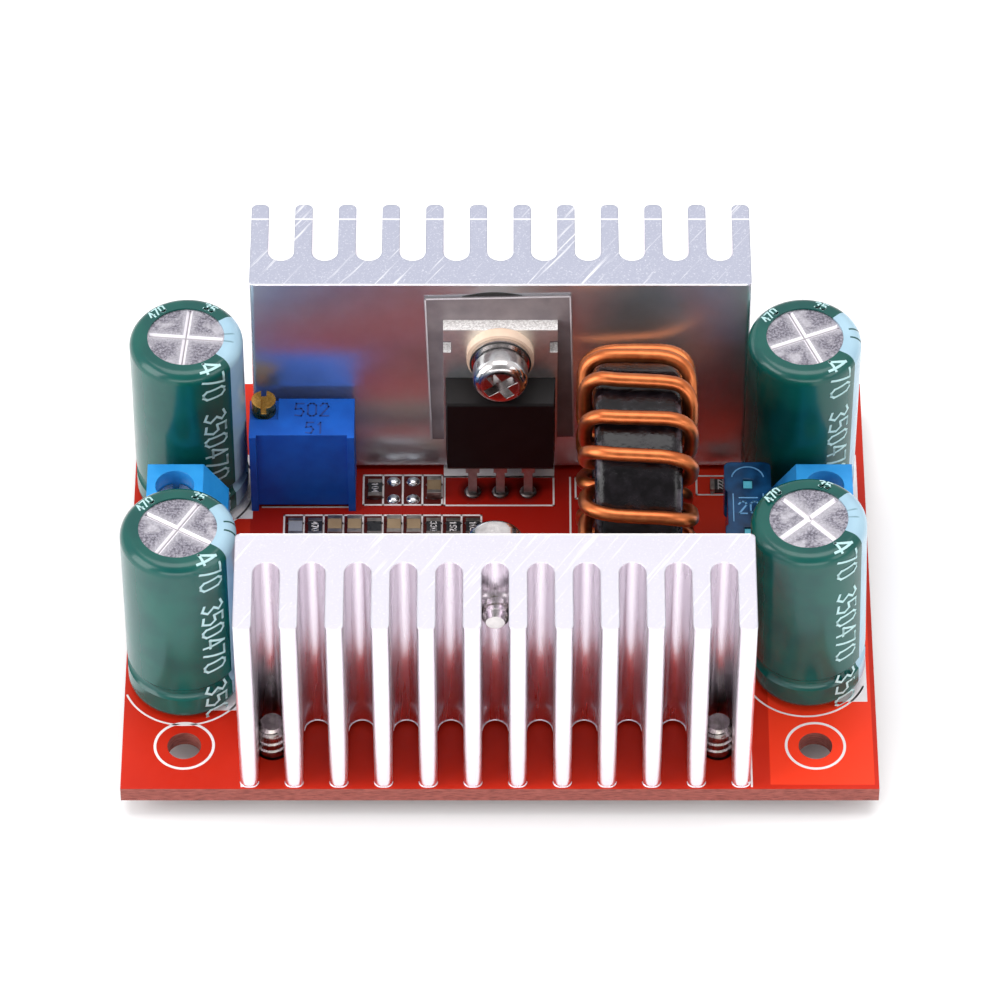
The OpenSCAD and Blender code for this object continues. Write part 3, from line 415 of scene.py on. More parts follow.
def shrink_sleeve(name, node):
    """Green film with one pale stripe that carries dark outlined dashes."""
    stripe_half, rail_near, rail_far = (math.radians(turn) for turn in (35.5, 5.5, 8))
    dash_step = 7.0
    stripe_at, dash_at = STRIPES[node]
    low, high = box_mm(node)
    centre = (low + high) / 2
    t = Tree(name)
    at = t.mm()
    x, y, z = t.split(at)
    turn = t.math("ARCTAN2", t.math("SUBTRACT", y, centre.y), t.math("SUBTRACT", x, centre.x))
    off = t.math("ABSOLUTE", t.math("SUBTRACT", turn, math.radians(stripe_at)))
    stripe = t.math("LESS_THAN", off, stripe_half)
    along = t.math("FRACT", t.math("DIVIDE", t.math("SUBTRACT", high.z + dash_at, z), dash_step))
    rail = t.between(off, rail_near, rail_far, 0.005)
    dash = t.math("MULTIPLY", rail, t.between(along, -0.2, 0.5, 0.01))
    clouds = t.noise(at, 0.3, 2)
    green = t.mix(t.remap(clouds, 0.35, 0.65), srgb(5, 71, 67), srgb(8, 81, 73))
    pale = t.mix(t.remap(clouds, 0.35, 0.65), srgb(146, 178, 196), srgb(158, 190, 206))
    pale = t.mix(dash, pale, srgb(20, 70, 66))
    t.set(Base_Color=t.mix(stripe, green, pale), Roughness=t.remap(clouds, 0.3, 0.7, 0.18, 0.24))
    t.set(Specular_IOR_Level=0.43)
    return t.finish(clouds, 0.03, 0.1)


# Turn of the pressed vent cross on each can
VENTS = {"front_left_can": -31, "front_right_can": 42, "rear_left_can": -5, "rear_right_can": 23}


def can_top(name, node):
    """Drawn aluminium: speckled grey, with painted highlights along the vent cross, in soft patches and on
    the groove walls, and a dark line down its grooves as painted shade.
    """
    centre = middle(node)
    t = Tree(name)
    at = t.mm()
    x, y, _ = t.split(t.mapped(at, (1, 1, 1), 0, -centre))
    a = math.radians(VENTS[node])
    lines = []
    for cos, sin in ((math.cos(a), math.sin(a)), (-math.sin(a), math.cos(a))):
        off = t.math("SUBTRACT", t.math("MULTIPLY", y, cos), t.math("MULTIPLY", x, sin))
        lines.append(t.math("ABSOLUTE", off))
    near = t.math("MINIMUM", *lines)
    speckle = t.noise(at, 4.5, 4, 0.75)
    sheen = t.noise(at, 0.5, 2)
    facing = t.normal()["Z"]
    # Groove walls get a whiter, less metallic tone as painted highlight, with painted shade as a dark line
    # down their middle
    groove = t.between(facing, 0.5, 0.93, 0.03)
    grey = t.mix(t.remap(speckle, 0.42, 0.66), srgb(104, 101, 112), srgb(186, 183, 194))
    # Painted highlight: brighter near the vent cross and in soft patches
    glow = t.math("MAXIMUM", t.remap(near, 0.3, 1.0, 0.5, 0), t.remap(sheen, 0.52, 0.66, 0, 0.6))
    grey = t.mix(glow, grey, srgb(216, 213, 220))
    shade_line = t.remap(near, 0.02, 0.10)
    groove_glint = t.mix(shade_line, srgb(168, 163, 168), srgb(236, 233, 238))
    t.set(Base_Color=t.mix(groove, grey, groove_glint), Metallic=t.blend(groove, 1.0, 0.5))
    t.set(Roughness=t.blend(groove, 0.36, 0.5))
    return t.finish(speckle, 0.25, 0.03)


def core_coating():
    """Glossy black coating, orange-peeled and paler in patches along the rims."""
    t = Tree("core_coating")
    at = t.mm()
    off = t.math("ABSOLUTE", t.math("SUBTRACT", t.split(at)["X"], middle("inductor_core").x))
    flank = t.remap(t.math("ABSOLUTE", t.normal()["X"]), 0.8, 0.95, 1.0, 0.15)
    rim = t.math("MULTIPLY", t.remap(off, 3.2, 3.6), flank)
    peel = t.noise(at, 0.8, 4, 0.6)
    pale_patches = t.math("MULTIPLY", rim, t.remap(peel, 0.45, 0.6))
    black = t.mix(t.remap(peel, 0.4, 0.7), srgb(10, 7, 10), srgb(26, 22, 27))
    t.set(Base_Color=t.mix(pale_patches, black, srgb(92, 86, 94)), Roughness=t.remap(peel, 0.3, 0.7, 0.14, 0.3))
    t.set(Specular_IOR_Level=0.3)
    return t.finish(peel, 0.6, 0.2)


def copper_wire():
    """Enamelled copper: orange metal under a thin clear film."""
    t = Tree("copper_wire")
    film = t.noise(t.mm(), 1.2, 3)
    t.set(Metallic=1.0, Base_Color=t.mix(t.remap(film, 0.35, 0.65), srgb(184, 98, 54), srgb(196, 112, 64)))
    t.set(Roughness=t.remap(film, 0.3, 0.7, 0.34, 0.42), Coat_Weight=0.15, Coat_Roughness=0.2)
    return t.finish(film, 0.04, 0.05)


def fuse_plastic():
    """Dark blue glossy plastic, whose rounded edges catch the light."""
    t = Tree("fuse_plastic")
    clouds = t.noise(t.mm(), 0.6, 2)
    t.set(Base_Color=t.mix(t.remap(clouds, 0.35, 0.65), srgb(4, 36, 66), srgb(10, 62, 104)))
    t.set(Roughness=t.remap(clouds, 0.3, 0.7, 0.12, 0.2), Specular_IOR_Level=0.35)
    return t.finish(clouds, 0.05, 0.05, 0.15)


# Pieces

def piece(name, bm, material, smooth=False):
    """Adds a mesh given in millimetres to the object, on its root body."""
    bmesh.ops.recalc_face_normals(bm, faces=bm.faces)
    mesh = bpy.data.meshes.new(name)
    bm.to_mesh(mesh)
    bm.free()
    mesh.transform(Matrix.Scale(MM, 4))
    mesh.materials.append(material)
    for face in mesh.polygons:
        face.use_smooth = smooth
    if smooth:
        mesh.set_sharp_from_angle(angle=math.radians(40))
    obj = bpy.data.objects.new(name, mesh)
    bpy.context.collection.objects.link(obj)
    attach(obj, ROOT)
    return obj


def tube(bm, rings, closed=False):
    """Skins a list of rings of points into one tube, capped at its ends or joined into a loop."""
    rows = [[bm.verts.new(p) for p in ring] for ring in rings]
    count = len(rows[0])
    after = rows[1:] + rows[:1] if closed else rows[1:]
    for a, b in zip(rows, after):
        for i in range(count):
            j = (i + 1) % count
            bm.faces.new((a[i], a[j], b[j], b[i]))
    if not closed:
        bm.faces.new(rows[0][::-1])
        bm.faces.new(rows[-1])


def sweep(bm, path, outward, radius, sides):
    """A round wire along a path; outward gives the side that each of its rings starts from."""
    rings = []
    for i, p in enumerate(path):
        along = (path[min(i + 1, len(path) - 1)] - path[max(i - 1, 0)]).normalized()
        n = (outward[i] - along * outward[i].dot(along)).normalized()
        b = along.cross(n)
        turns = [math.tau * k / sides for k in range(sides)]
        rings.append([p + (n * math.cos(a) + b * math.sin(a)) * radius for a in turns])
    tube(bm, rings)


PRINT_HEIGHT = 0.02


def bar(bm, a, b, normal, width, height=PRINT_HEIGHT):
    """A thin bar from a to b that lies on a face with the given normal."""
    along = (b - a).normalized()
    side = along.cross(normal).normalized() * (width / 2)
    lift = normal * height
    tube(bm, [[p - side, p + side, p + side + lift, p - side + lift]
              for p in (a - along * width / 2, b + along * width / 2)])


def ring(bm, centre, radius, width, sides=64, start=0.0, span=360.0, height=PRINT_HEIGHT):
    """A thin printed ring on a level face, or a stretch of one that spans some degrees."""
    whole = span >= 360
    rings = []
    for k in range(sides if whole else sides + 1):
        a = math.radians(start + span * k / sides)
        out = Vector((math.cos(a), math.sin(a), 0))
        inner, outer = centre + out * (radius - width / 2), centre + out * (radius + width / 2)
        rings.append([inner, outer, outer + UP * height, inner + UP * height])
    tube(bm, rings, whole)


def patch(bm, low, high, z, height=PRINT_HEIGHT):
    """A printed rectangle on a level face."""
    corners = [(low[0], low[1]), (high[0], low[1]), (high[0], high[1]), (low[0], high[1])]
    tube(bm, [[Vector((x, y, z + h)) for x, y in corners] for h in (0, height)])


# Strokes of each figure on a grid one wide and two high
FIGURES = {
    "0": [[(0, 0.3), (0, 1.7), (0.3, 2), (0.7, 2), (1, 1.7), (1, 0.3), (0.7, 0), (0.3, 0), (0, 0.3)]],
    "1": [[(0.2, 1.6), (0.5, 2), (0.5, 0)]],
    "2": [[(0, 1.6), (0.3, 2), (0.8, 2), (1, 1.5), (0, 0), (1, 0)]],
    "3": [[(0, 1.8), (0.6, 2), (1, 1.6), (0.5, 1.1), (1, 0.5), (0.6, 0), (0, 0.2)]],
    "4": [[(0.8, 0), (0.8, 2), (0, 0.6), (1, 0.6)]],
    "5": [[(1, 2), (0.1, 2), (0, 1.1), (0.7, 1.2), (1, 0.7), (0.7, 0), (0, 0.1)]],
    "7": [[(0, 2), (1, 2), (0.3, 0)]],
}


def number(bm, text, place, size, stroke, parts=1):
    """Prints figures; place turns a spot across and up the text into a point and a normal."""
    step = size / 2
    for k, figure in enumerate(text):
        for line in FIGURES.get(figure, []):
            for (ax, ay), (bx, by) in zip(line, line[1:]):
                spots = [((k * 1.5 + ax + (bx - ax) * i / parts) * step,
                          (ay + (by - ay) * i / parts) * step) for i in range(parts + 1)]
                for this, after in zip(spots, spots[1:]):
                    a, normal = place(*this)
                    b, _ = place(*after)
                    bar(bm, a, b, normal, stroke)


def flat_place(origin, across, normal):
    """A place rule for text on a flat face."""
    across, normal = Vector(across), Vector(normal)
    up = normal.cross(across)
    return lambda u, v: (origin + across * u + up * v, normal)


def add_board_print(material):
    """White print: rings round holes and capacitors, and outlines beside the parts that stand there."""
    low, high = box_mm("circuit_board")
    top = high.z
    line, hole_line = 0.17, 0.24
    hole_ring, can_ring = 2.6, 5.6
    hole_x, hole_y = 5.5, 4.9
    bm = bmesh.new()

    def path(*points):
        for a, b in zip(points, points[1:]):
            bar(bm, Vector((*a, top)), Vector((*b, top)), UP, line)

    def frame_box(x0, y0, x1, y1):
        path((x0, y0), (x1, y0), (x1, y1), (x0, y1), (x0, y0))

    for x in (low.x + hole_x, high.x - hole_x):
        for y in (low.y + hole_y, high.y - hole_y):
            ring(bm, Vector((x, y, top)), hole_ring, hole_line)
    for node in STRIPES:
        c = middle(node)
        c.z = top
        ring(bm, c, can_ring, line, 96, -158 if c.x < 0 else 22, 316)
        patch(bm, (c.x + 2.6, c.y - 3.9), (min(c.x + 5.5, high.x - 0.3), c.y + 3.9), top)
    for left, front, rear, cells in (REAR_ROW, FRONT_ROW):
        frame_box(left, front, left + CELL * cells, rear)
        for k in range(1, cells):
            path((left + CELL * k, front), (left + CELL * k, rear))
    # Rear device and its tab
    frame_box(-5.07, 9.1, 4.93, 12.6)
    patch(bm, (-5.15, 12.5), (5.0, 14.2), top)
    # Corner of the inductor's place, and a chip on each side of it
    path((6.45, 12.5), (6.45, -11.5), (18, -11.5))
    frame_box(6.95, 9.93, 11.2, 12.5)
    frame_box(18.05, 10.4, 22.4, 12.7)
    # Front edge of the trimmer's place, and the ends of the front heatsink's
    path((-21.7, 8.9), (-13.6, 8.9))
    sink_low, sink_high = box_mm("front_heatsink")
    for x in (sink_low.x + 0.1, sink_high.x + 0.15):
        path((x, low.y + 0.3), (x, -12.8), (x * 0.9, -12.8))
    piece("board_print", bm, material)


def dome(bm, centre, half, height):
    """A rounded drop on the board."""
    steps, sides = 6, 16
    turns = [math.tau * k / sides for k in range(sides)]
    rings = []
    for k in range(steps):
        a = math.pi / 2 * k / steps
        rings.append([centre + Vector((half[0] * math.cos(a) * math.cos(turn),
                                       half[1] * math.cos(a) * math.sin(turn),
                                       height * math.sin(a))) for turn in turns])
    tube(bm, rings)


def add_solder(bright, dull):
    """Solder on the empty chip places, at the chip ends and round the legs of the rear device."""
    top = box_mm("circuit_board")[1].z
    empty_x, empty_y = (-9.75, -7.95), (9.8, 11.95)
    bm = bmesh.new()
    for x in empty_x:
        for y in empty_y:
            dome(bm, Vector((x, y, top)), (0.66, 0.6), 0.42)
    piece("pad_solder", bm, bright, smooth=True)
    bm = bmesh.new()
    for low, high in solids("chip_end_caps"):
        dome(bm, Vector(((low.x + high.x) / 2, (low.y + high.y) / 2, top)),
             ((high.x - low.x) * 0.62, (high.y - low.y) * 0.62), 0.2)
    for low, high in solids("rear_device_legs"):
        dome(bm, Vector(((low.x + high.x) / 2, low.y + 0.45, top)), (0.8, 0.8), 0.3)
    piece("joint_solder", bm, dull, smooth=True)


def add_washer_gap_shade(material):
    """Dark rings as painted shade where the washers under the rear device's screw meet."""
    normal = Vector((0, -math.cos(LEAN), math.sin(LEAN)))
    other = normal.cross(Vector((1, 0, 0)))
    turns = [math.tau * k / 40 for k in range(41)]
    rays = [Vector((math.cos(a), 0, 0)) + other * math.sin(a) for a in turns]
    shade_line, sunk = 0.09, 0.05
    bm = bmesh.new()
    for node in ("rear_flat_washer", "rear_spring_washer"):
        low, high = box_mm(node)
        radius = (high.x - low.x) / 2
        thick = ((high.y - low.y) - 2 * radius * math.sin(LEAN)) / math.cos(LEAN)
        face = (low + high) / 2 + normal * thick / 2
        sweep(bm, [face + ray * (radius - sunk) for ray in rays], rays, shade_line, 6)
    piece("washer_gap_shade", bm, material, smooth=True)


def add_markings(white, blue):
    """Plain figures on the chips and the trimmers."""
    values = ("103", "470", "222", "104", "330", "152")
    left, _, rear, _ = FRONT_ROW
    plain = [left + CELL * (cell + 0.5) for cell in (0, 4)]
    bm = bmesh.new()
    for k, (low, high) in enumerate(solids("chip_resistors")):
        c = Vector(((low.x + high.x) / 2, (low.y + high.y) / 2, high.z))
        upright = high.y - low.y > high.x - low.x - 0.2
        across = Vector((0, -1, 0)) if upright else Vector((1, 0, 0))
        if c.y < rear and min(abs(c.x - x) for x in plain) < 0.4:
            continue
        place = flat_place(c - across * 0.5 - UP.cross(across) * 0.27, across, UP)
        number(bm, values[k % len(values)], place, 0.54, 0.1)
    piece("chip_figures", bm, white)

    bm = bmesh.new()
    for node, turn in (("rear_trimmer_housing", 1), ("front_trimmer_housing", -1)):
        low, high = box_mm(node)
        c = Vector(((low.x + high.x) / 2, (low.y + high.y) / 2, high.z))
        across = Vector((turn, 0, 0))
        number(bm, "502", flat_place(c + Vector((-0.6, 0.3, 0)) * turn, across, UP), 1.5, 0.16)
        number(bm, "51", flat_place(c + Vector((0.4, -1.8, 0)) * turn, across, UP), 1.3, 0.14)
    piece("trimmer_figures", bm, blue)


def add_sleeve_figures(material):
    """Pale figures on each capacitor: down its side next to the stripe, and round the back of its rim."""
    rim, bare, text_turn = 1.05, 3.6, 69
    bm = bmesh.new()
    for node, (stripe_at, _) in STRIPES.items():
        low, high = box_mm(node)
        radius = (high.y - low.y) / 2
        height = high.z - low.z
        lean = (high.x - low.x - 2 * radius) / height
        foot = Vector((high.x - radius, (low.y + high.y) / 2, low.z))
        flat = radius - rim - bare
        bend = rim * math.pi / 2
        first = math.radians(stripe_at - text_turn)

        def on_film(far, turn):
            """The film's surface far millimetres from the bare disc, out over the rim and then down."""
            tilt = min(max(far - flat, 0), bend) / rim
            reach = bare + min(far, flat) + rim * math.sin(tilt)
            z = height - rim * (1 - math.cos(tilt)) - max(far - flat - bend, 0)
            out = Vector((math.cos(turn), math.sin(turn), 0))
            normal = out * math.sin(tilt) + UP * math.cos(tilt)
            return foot + out * reach + Vector((-lean * z, 0, z)), normal

        number(bm, "470 350470 350", lambda u, v: on_film(0.15 + u, first + v / radius), 2.1, 0.23, 5)
        for text, start in (("35", first + 2.4), ("470", first + 3.75)):
            number(bm, text, lambda u, v: on_film(0.08 + v, start - u / 4), 0.8, 0.15, 3)
    piece("sleeve_figures", bm, material)


def add_fuse_detail(pale, glow):
    """Raised arches and rating on the fuse's top, and the lit bottoms of its test windows."""
    low, high = box_mm("fuse_housing")
    c = (low + high) / 2
    c.z = high.z
    line, relief = 0.12, 0.05
    arch_at, arch_radius = 3.4, 1.45
    dash_at, dash_half = 1.15, 0.8
    edge_at, edge_half, edge_line = 1.35, 1.6, 0.1
    window_at, window_half_x, window_half_y, window_depth = 2.6, 0.4, 0.52, 0.25
    bm = bmesh.new()
    for side in (-1, 1):
        start = 10 if side > 0 else 190
        ring(bm, c + Vector((0, side * arch_at, 0)), arch_radius, line, 24, start, 160, relief)
    bar(bm, c + Vector((-dash_half, dash_at, 0)), c + Vector((dash_half, dash_at, 0)), UP, line, relief)
    number(bm, "20", flat_place(c + Vector((-0.85, -0.7, 0)), (1, 0, 0), UP), 1.4, 0.16)
    for x in (-edge_at, edge_at):
        bar(bm, c + Vector((x, -edge_half, 0)), c + Vector((x, edge_half, 0)), UP, edge_line, relief)
    piece("fuse_relief", bm, pale)
    bm = bmesh.new()
    for side in (-1, 1):
        y = c.y + side * ((high.y - low.y) / 2 - window_at)
        patch(bm, (c.x - window_half_x, y - window_half_y), (c.x + window_half_x, y + window_half_y),
              high.z - window_depth)
    piece("fuse_windows", bm, glow)


def add_pad_glint_and_shade(material, shade_sheet_material):
    """Bright lines as painted highlight along the cut edges of the rear insulating pad, which sits a little
    turned, and a dark sheet as painted shade in the gap where its top edge bows off the heatsink."""
    width, height, turn = 13, 17.8, math.radians(1.5)
    low, high = box_mm("rear_insulating_pad")
    centre = (low + high) / 2
    normal = Vector((0, -math.cos(LEAN), math.sin(LEAN)))

    def spot(u, v):
        """A point on the pad's face, across and up from its middle."""
        x = u * math.cos(turn) - v * math.sin(turn)
        z = u * math.sin(turn) + v * math.cos(turn)
        return centre + Vector((x, z * math.sin(LEAN), z * math.cos(LEAN))) + normal * 0.1

    left, right, bottom, top = -width / 2, width / 2, -height / 2, height / 2
    # Painted highlight: bright lines along the pad's left, right and top cut edges
    bm = bmesh.new()
    edges = (((left, bottom), (left, top)), ((right, bottom), (right, top)),
             ((left, top), (right, top)))
    for a, b in edges:
        bar(bm, spot(*a), spot(*b), normal, 0.14, 0.04)
    piece("pad_cut_glint", bm, material)
    # Painted shade: a dark sheet above the pad's top edge
    bm = bmesh.new()
    arch = [(-3.2 + k * 0.45, top + 0.1 + 0.42 * math.sin(math.pi * k / 12)) for k in range(13)]
    sides = [[bm.verts.new(spot(u, v) - normal * sink) for u, v in arch] for sink in (0.15, 0.3)]
    bm.faces.new(sides[0][::-1])
    bm.faces.new(sides[1])
    for k in range(len(arch)):
        bm.faces.new((sides[0][k - 1], sides[0][k], sides[1][k], sides[1][k - 1]))
    piece("pad_shade_sheet", bm, shade_sheet_material)


# The heatsinks, along the same section as their solids

SINK_LENGTH, SINK_HEIGHT = 45, 23
PLATE, PLATE_CORNER = 3.1, 0.4
FIN_COUNT, FIN_THICKNESS, FIN_REACH, FIN_ROUND = 12, 1.6, 7.35, 0.6


def arc(x, y, radius, start, end, steps):
    """Points of a round stretch of the section, between two angles in degrees."""
    angles = [math.radians(start + (end - start) * k / steps) for k in range(steps + 1)]
    return [Vector((x + radius * math.cos(a), y + radius * math.sin(a))) for a in angles]


def sink_arcs():
    """The rounded stretches of the section: each fin's tip and each slot's floor, between two corners."""
    pitch = (SINK_LENGTH - FIN_THICKNESS) / (FIN_COUNT - 1)
    floor = (pitch - FIN_THICKNESS) / 2
    inset = SINK_LENGTH / 2 - PLATE_CORNER
    corner = FIN_THICKNESS / 2 - FIN_ROUND
    tip = PLATE + FIN_REACH - FIN_ROUND
    arcs = [arc(inset, PLATE_CORNER, PLATE_CORNER, -90, 0, 6)]
    for k in range(FIN_COUNT):
        x = (FIN_COUNT / 2 - 0.5 - k) * pitch
        arcs.append(arc(x + corner, tip, FIN_ROUND, 0, 90, 8) + arc(x - corner, tip, FIN_ROUND, 90, 180, 8))
        if k < FIN_COUNT - 1:
            arcs.append(arc(x - pitch / 2, PLATE + floor, floor, 0, -180, 32))
    arcs.append(arc(-inset, PLATE_CORNER, PLATE_CORNER, 180, 270, 6))
    return arcs


def add_heatsink(node, side, material, glint_material):
    """One heatsink with true round slot floors, and bright lines as painted highlight along the foot of its
    slot floors and fin tips and along the top edge of its inner face.
    """
    corner_step, glint, rim_sunk, rim_radius = 0.02, 0.06, 0.04, 0.1
    low, high = box_mm(node)
    foot = Vector(((low.x + high.x) / 2, low.y if side > 0 else high.y, low.z))
    foot.z += (PLATE + FIN_REACH) * math.sin(LEAN)
    turn = Matrix.Rotation(math.pi if side > 0 else 0, 4, "Z")
    place = Matrix.Translation(foot) @ turn @ Matrix.Rotation(LEAN, 4, "X")
    arcs = sink_arcs()
    outline = []
    for this, after in zip(arcs, arcs[1:] + arcs[:1]):
        step = (after[0] - this[-1]).normalized() * corner_step
        outline += this + [this[-1] + step, after[0] - step]
    bm = bmesh.new()
    tube(bm, [[place @ Vector((p.x, -p.y, z)) for p in outline] for z in (0, SINK_HEIGHT)])
    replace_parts(piece("fine_" + node, bm, material, smooth=True), node)
    # Painted highlight: bright lines along the foot of each slot floor and fin tip, and along the top edge
    # of the inner face
    bm = bmesh.new()
    for this in arcs[1:-1]:
        sweep(bm, [place @ Vector((p.x, -p.y, glint)) for p in this], [UP] * len(this), glint, 6)
    end = SINK_LENGTH / 2 - PLATE_CORNER
    rim = [place @ Vector((x, -rim_sunk, SINK_HEIGHT - glint)) for x in (-end, end)]
    sweep(bm, rim, [UP, UP], rim_radius, 8)
    piece("glint_" + node, bm, glint_material, smooth=True)


# The winding, along the same rule as its solid

# Degrees by which a hand-wound turn strays towards the front, at its right and its left side
STRAYS = {6: (2, 5), 7: (-1, 2), 8: (3, 9), 9: (7, 8), 10: (10, 10), 11: (11, 9), 12: (6, 4), 13: (2, 1)}


def stray(u):
    """How far the wire strays at a winding angle, all in degrees."""
    turn, part = divmod(u / 360, 1)
    right, left = STRAYS.get(turn, (0, 0))
    after, _ = STRAYS.get(turn + 1, (0, 0))
    if part < 0.5:
        return right + (left - right) * part * 2
    return left + (after - left) * (part * 2 - 1)


def bulge(c, square):
    """A sine or cosine pushed outwards, so that a circle becomes a rounded square."""
    return math.copysign(abs(c) ** (2 / square), c)


def add_winding(material):
    """One wire wound round the core, with hand-wound turns and slack over the top."""
    low, high = box_mm("inductor_core")
    centre = (low + high) / 2
    wire, enamel, gap, turns, square, core_id = 1.2, 0.04, 0.25, 16, 4, 13.4
    slack_height = 0.35
    outer = (high.y - low.y) / 2 + gap + wire / 2
    inner = core_id / 2 - gap - wire / 2
    mean, half = (outer + inner) / 2, (outer - inner) / 2
    axial = (high.x - low.x) / 2 + gap + wire / 2
    foot = box_mm("inductor_winding")[0].z - centre.z
    crown = box_mm("inductor_winding")[1].z - centre.z - wire / 2 - enamel

    def radial(u):
        """The way out from the ring's middle at a winding angle."""
        phi = math.radians(270 - (u - 180) / turns + stray(u))
        return Vector((0, math.cos(phi), math.sin(phi)))

    def point(u):
        """The wire's place at a winding angle, kept below the crown of its solid."""
        a = math.radians(u)
        slack = slack_height * max(math.sin(a), 0) ** 2 * max(radial(u).z, 0)
        reach = mean + half * bulge(math.sin(a), square) + slack
        reach = min(reach, crown / max(radial(u).z, 0.1))
        return Vector((axial * bulge(math.cos(a), square), 0, 0)) + radial(u) * reach

    steps = 40
    angles = [180 + 360 * k / steps for k in range(int((turns - 0.5) * steps) + 1)]
    path = [point(u) for u in angles]
    outward = []
    for u in angles:
        a = math.radians(u)
        outward.append(Vector((math.cos(a), 0, 0)) + radial(u) * math.sin(a))
    first, last = path[0], path[-1]
    path = [Vector((first.x, first.y, foot))] + path + [Vector((last.x, last.y, foot))]
    outward = [Vector((-1, 0, 0))] + outward + [Vector((1, 0, 0))]
    bm = bmesh.new()
    sweep(bm, [centre + p for p in path], outward, wire / 2 + enamel, 12)
    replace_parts(piece("copper_winding", bm, material, smooth=True), "inductor_winding")


def thread(bm, start, axis, radius, length, pitch):
    """A screw thread's ridge round a shank that runs from start along axis."""
    axis = Vector(axis).normalized()
    side = axis.orthogonal().normalized()
    other = axis.cross(side)
    crest_height, root_depth, flank = 0.14, 0.1, axis * pitch * 0.34
    steps = 20
    count = int(length / pitch * steps)
    rings = []
    for k in range(count + 1):
        a = math.tau * k / steps
        out = side * math.cos(a) + other * math.sin(a)
        at = Vector(start) + axis * (pitch * k / steps)
        crest = crest_height * min(1.0, 2 * k / steps, 2 * (count - k) / steps + 0.05)
        root = at + out * (radius - root_depth)
        rings.append([root - flank, at + out * (radius + crest), root + flank])
    tube(bm, rings)


def add_threads(material):
    """Threads of the heatsink screws and of the front device's screw tip."""
    top = box_mm("circuit_board")[1].z
    bm = bmesh.new()
    for low, high in solids("heatsink_screws"):
        c = (low + high) / 2
        thread(bm, (c.x, c.y, top + 0.4), UP, radius=1.4, length=high.z - top - 0.9, pitch=0.95)
    piece("sink_screw_threads", bm, material, smooth=True)
    bm = bmesh.new()
    low, high = box_mm("front_device_screw")
    axis = Vector((0, -math.cos(LEAN), -math.sin(LEAN)))
    tip = (low + high) / 2
    tip.z -= (high.y - low.y - 1) * math.tan(LEAN)
    tip.y = low.y
    thread(bm, tip - axis * 2.6, axis, radius=1.2, length=2.1, pitch=0.85)
    piece("device_screw_thread", bm, material, smooth=True)


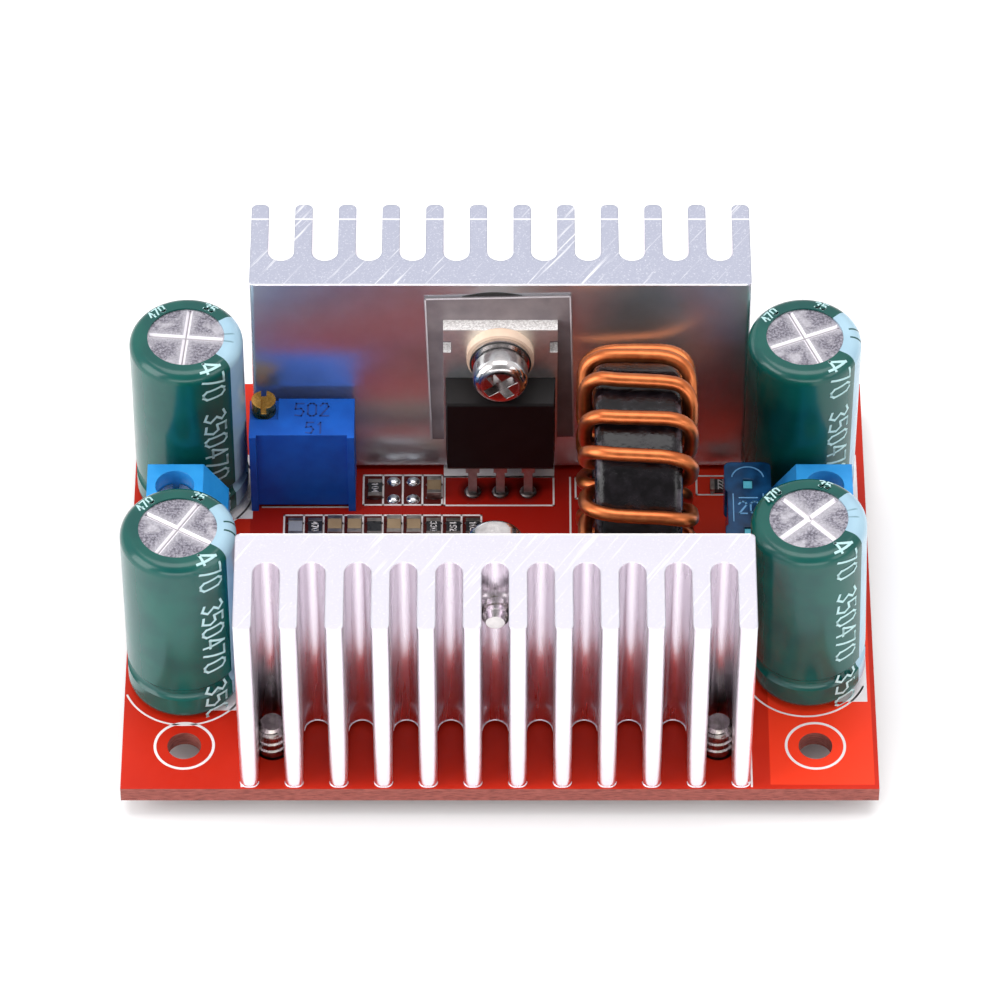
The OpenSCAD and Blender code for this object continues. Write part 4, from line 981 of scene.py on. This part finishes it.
def build():
    """Sets up the studio, gives every solid its look and adds the fine detail."""
    add_camera()
    add_world(1.0)
    add_floor()
    add_area_light("overhead", (0.0, 0.15, 1.1), (0, 0, 0), (0.9, 0.7), 6)
    add_area_light("left_front", (-0.9, -0.35, 0.45), (0, 0, 0.01), (0.7, 0.9), 8)
    add_area_light("front", (0.0, -1.0, 0.22), (0, 0, 0), (1.2, 0.35), 4)
    add_area_light("right_front", (0.9, -0.6, 0.6), (0, 0, 0.01), (0.5, 0.5), 2)

    white = plastic("print_white", srgb(236, 230, 230), srgb(226, 218, 218), 0.5, edge=0)
    # By material slot, or by node where a node differs from the rest of its slot
    looks = {
        "board": solder_mask(),
        "steel": metal("screw_steel", srgb(170, 162, 158), srgb(122, 116, 112), 0.2),
        "bright_screw": metal("bright_plating", srgb(218, 214, 213), srgb(200, 196, 196), 0.18, bump=0.05),
        "moulding": plastic("moulding_black", srgb(15, 10, 11), srgb(20, 15, 16), 0.5, 6.0, 0.3,
                            Specular_IOR_Level=0.22),
        "tab": tinned_tab(),
        "leads": metal("tinned_leads", srgb(196, 200, 198), srgb(176, 180, 178), 0.5),
        "solder": metal("solder_bright", srgb(236, 236, 238), srgb(214, 214, 218), 0.2),
        "pad": plastic("thermal_pad", srgb(112, 102, 106), srgb(128, 118, 120), 0.5, edge=0.05),
        "bush": plastic("insulating_bush", srgb(234, 208, 186), srgb(226, 196, 172), 0.45),
        "core": core_coating(),
        "copper": copper_wire(),
        "seal": plastic("rubber_seal", (0.012, 0.012, 0.012, 1), (0.02, 0.02, 0.02, 1), 0.6),
        "terminal": plastic("terminal_blue", srgb(36, 142, 216), srgb(48, 154, 226), 0.34, 2.0, 0.08),
        "clamp": metal("clamp_zinc", srgb(190, 192, 196), srgb(168, 170, 174), 0.28),
        "trimmer": plastic("trimmer_blue", srgb(8, 78, 172), srgb(13, 88, 186), 0.4, 2.0, 0.08,
                           Specular_IOR_Level=0.25),
        "brass": metal("adjuster_brass", srgb(206, 156, 82), srgb(182, 132, 64), 0.26),
        "fuse": fuse_plastic(),
        "chip_body": chip_glaze(),
        "chip_end_caps": metal("chip_tin", srgb(164, 154, 148), srgb(128, 120, 116), 0.35),
        "chip_tan": plastic("chip_ceramic", srgb(150, 126, 96), srgb(136, 112, 84), 0.4),
    }
    for entry in frame["record"]["subparts"]:
        node, slot = entry["node"], entry["material_slot"]
        mesh = NODES[node].data
        mesh.materials.clear()
        if slot == "sleeve":
            mesh.materials.append(shrink_sleeve("film_" + node, node))
        elif slot == "can":
            mesh.materials.append(can_top("aluminium_" + node, node))
        elif slot != "heatsink":
            mesh.materials.append(looks[node if node in looks else slot])

    # Painted highlight for the bright lines on the heatsinks' edges
    glint = metal("painted_glint", srgb(250, 248, 252), srgb(240, 238, 242), 0.5)
    front, rear = box_mm("front_heatsink")[0].y, box_mm("rear_heatsink")[1].y
    add_heatsink("front_heatsink", -1, sawn_aluminium("front_aluminium", 1, FRONT_CUT, front), glint)
    add_heatsink("rear_heatsink", 1, sawn_aluminium("rear_aluminium", -1, REAR_CUT, rear - 1.9), glint)

    add_winding(looks["copper"])
    add_threads(looks["steel"])
    add_board_print(white)
    add_solder(looks["solder"], metal("solder_dull", srgb(134, 124, 122), srgb(100, 92, 92), 0.34))
    # Painted shade where the washers meet, in the seal's black
    add_washer_gap_shade(looks["seal"])
    add_markings(white, plastic("marking_blue", srgb(10, 52, 128), srgb(14, 60, 140), 0.5, edge=0))
    add_sleeve_figures(plastic("marking_pale", srgb(178, 214, 214), srgb(168, 204, 206), 0.4, edge=0))
    add_fuse_detail(plastic("fuse_edges", srgb(96, 152, 196), srgb(70, 124, 170), 0.3, edge=0),
                    plastic("fuse_glow", srgb(64, 158, 182), srgb(84, 176, 196), 0.3, edge=0))
    # Painted highlight on the pad's cut edges; the seal's black serves as painted shade in its gap
    pad_glint_white = plastic("pad_glint_white", srgb(208, 202, 206), srgb(190, 184, 188), 0.4, edge=0)
    add_pad_glint_and_shade(pad_glint_white, looks["seal"])


build()
scene = bpy.context.scene
scene.view_settings.view_transform = "Standard"
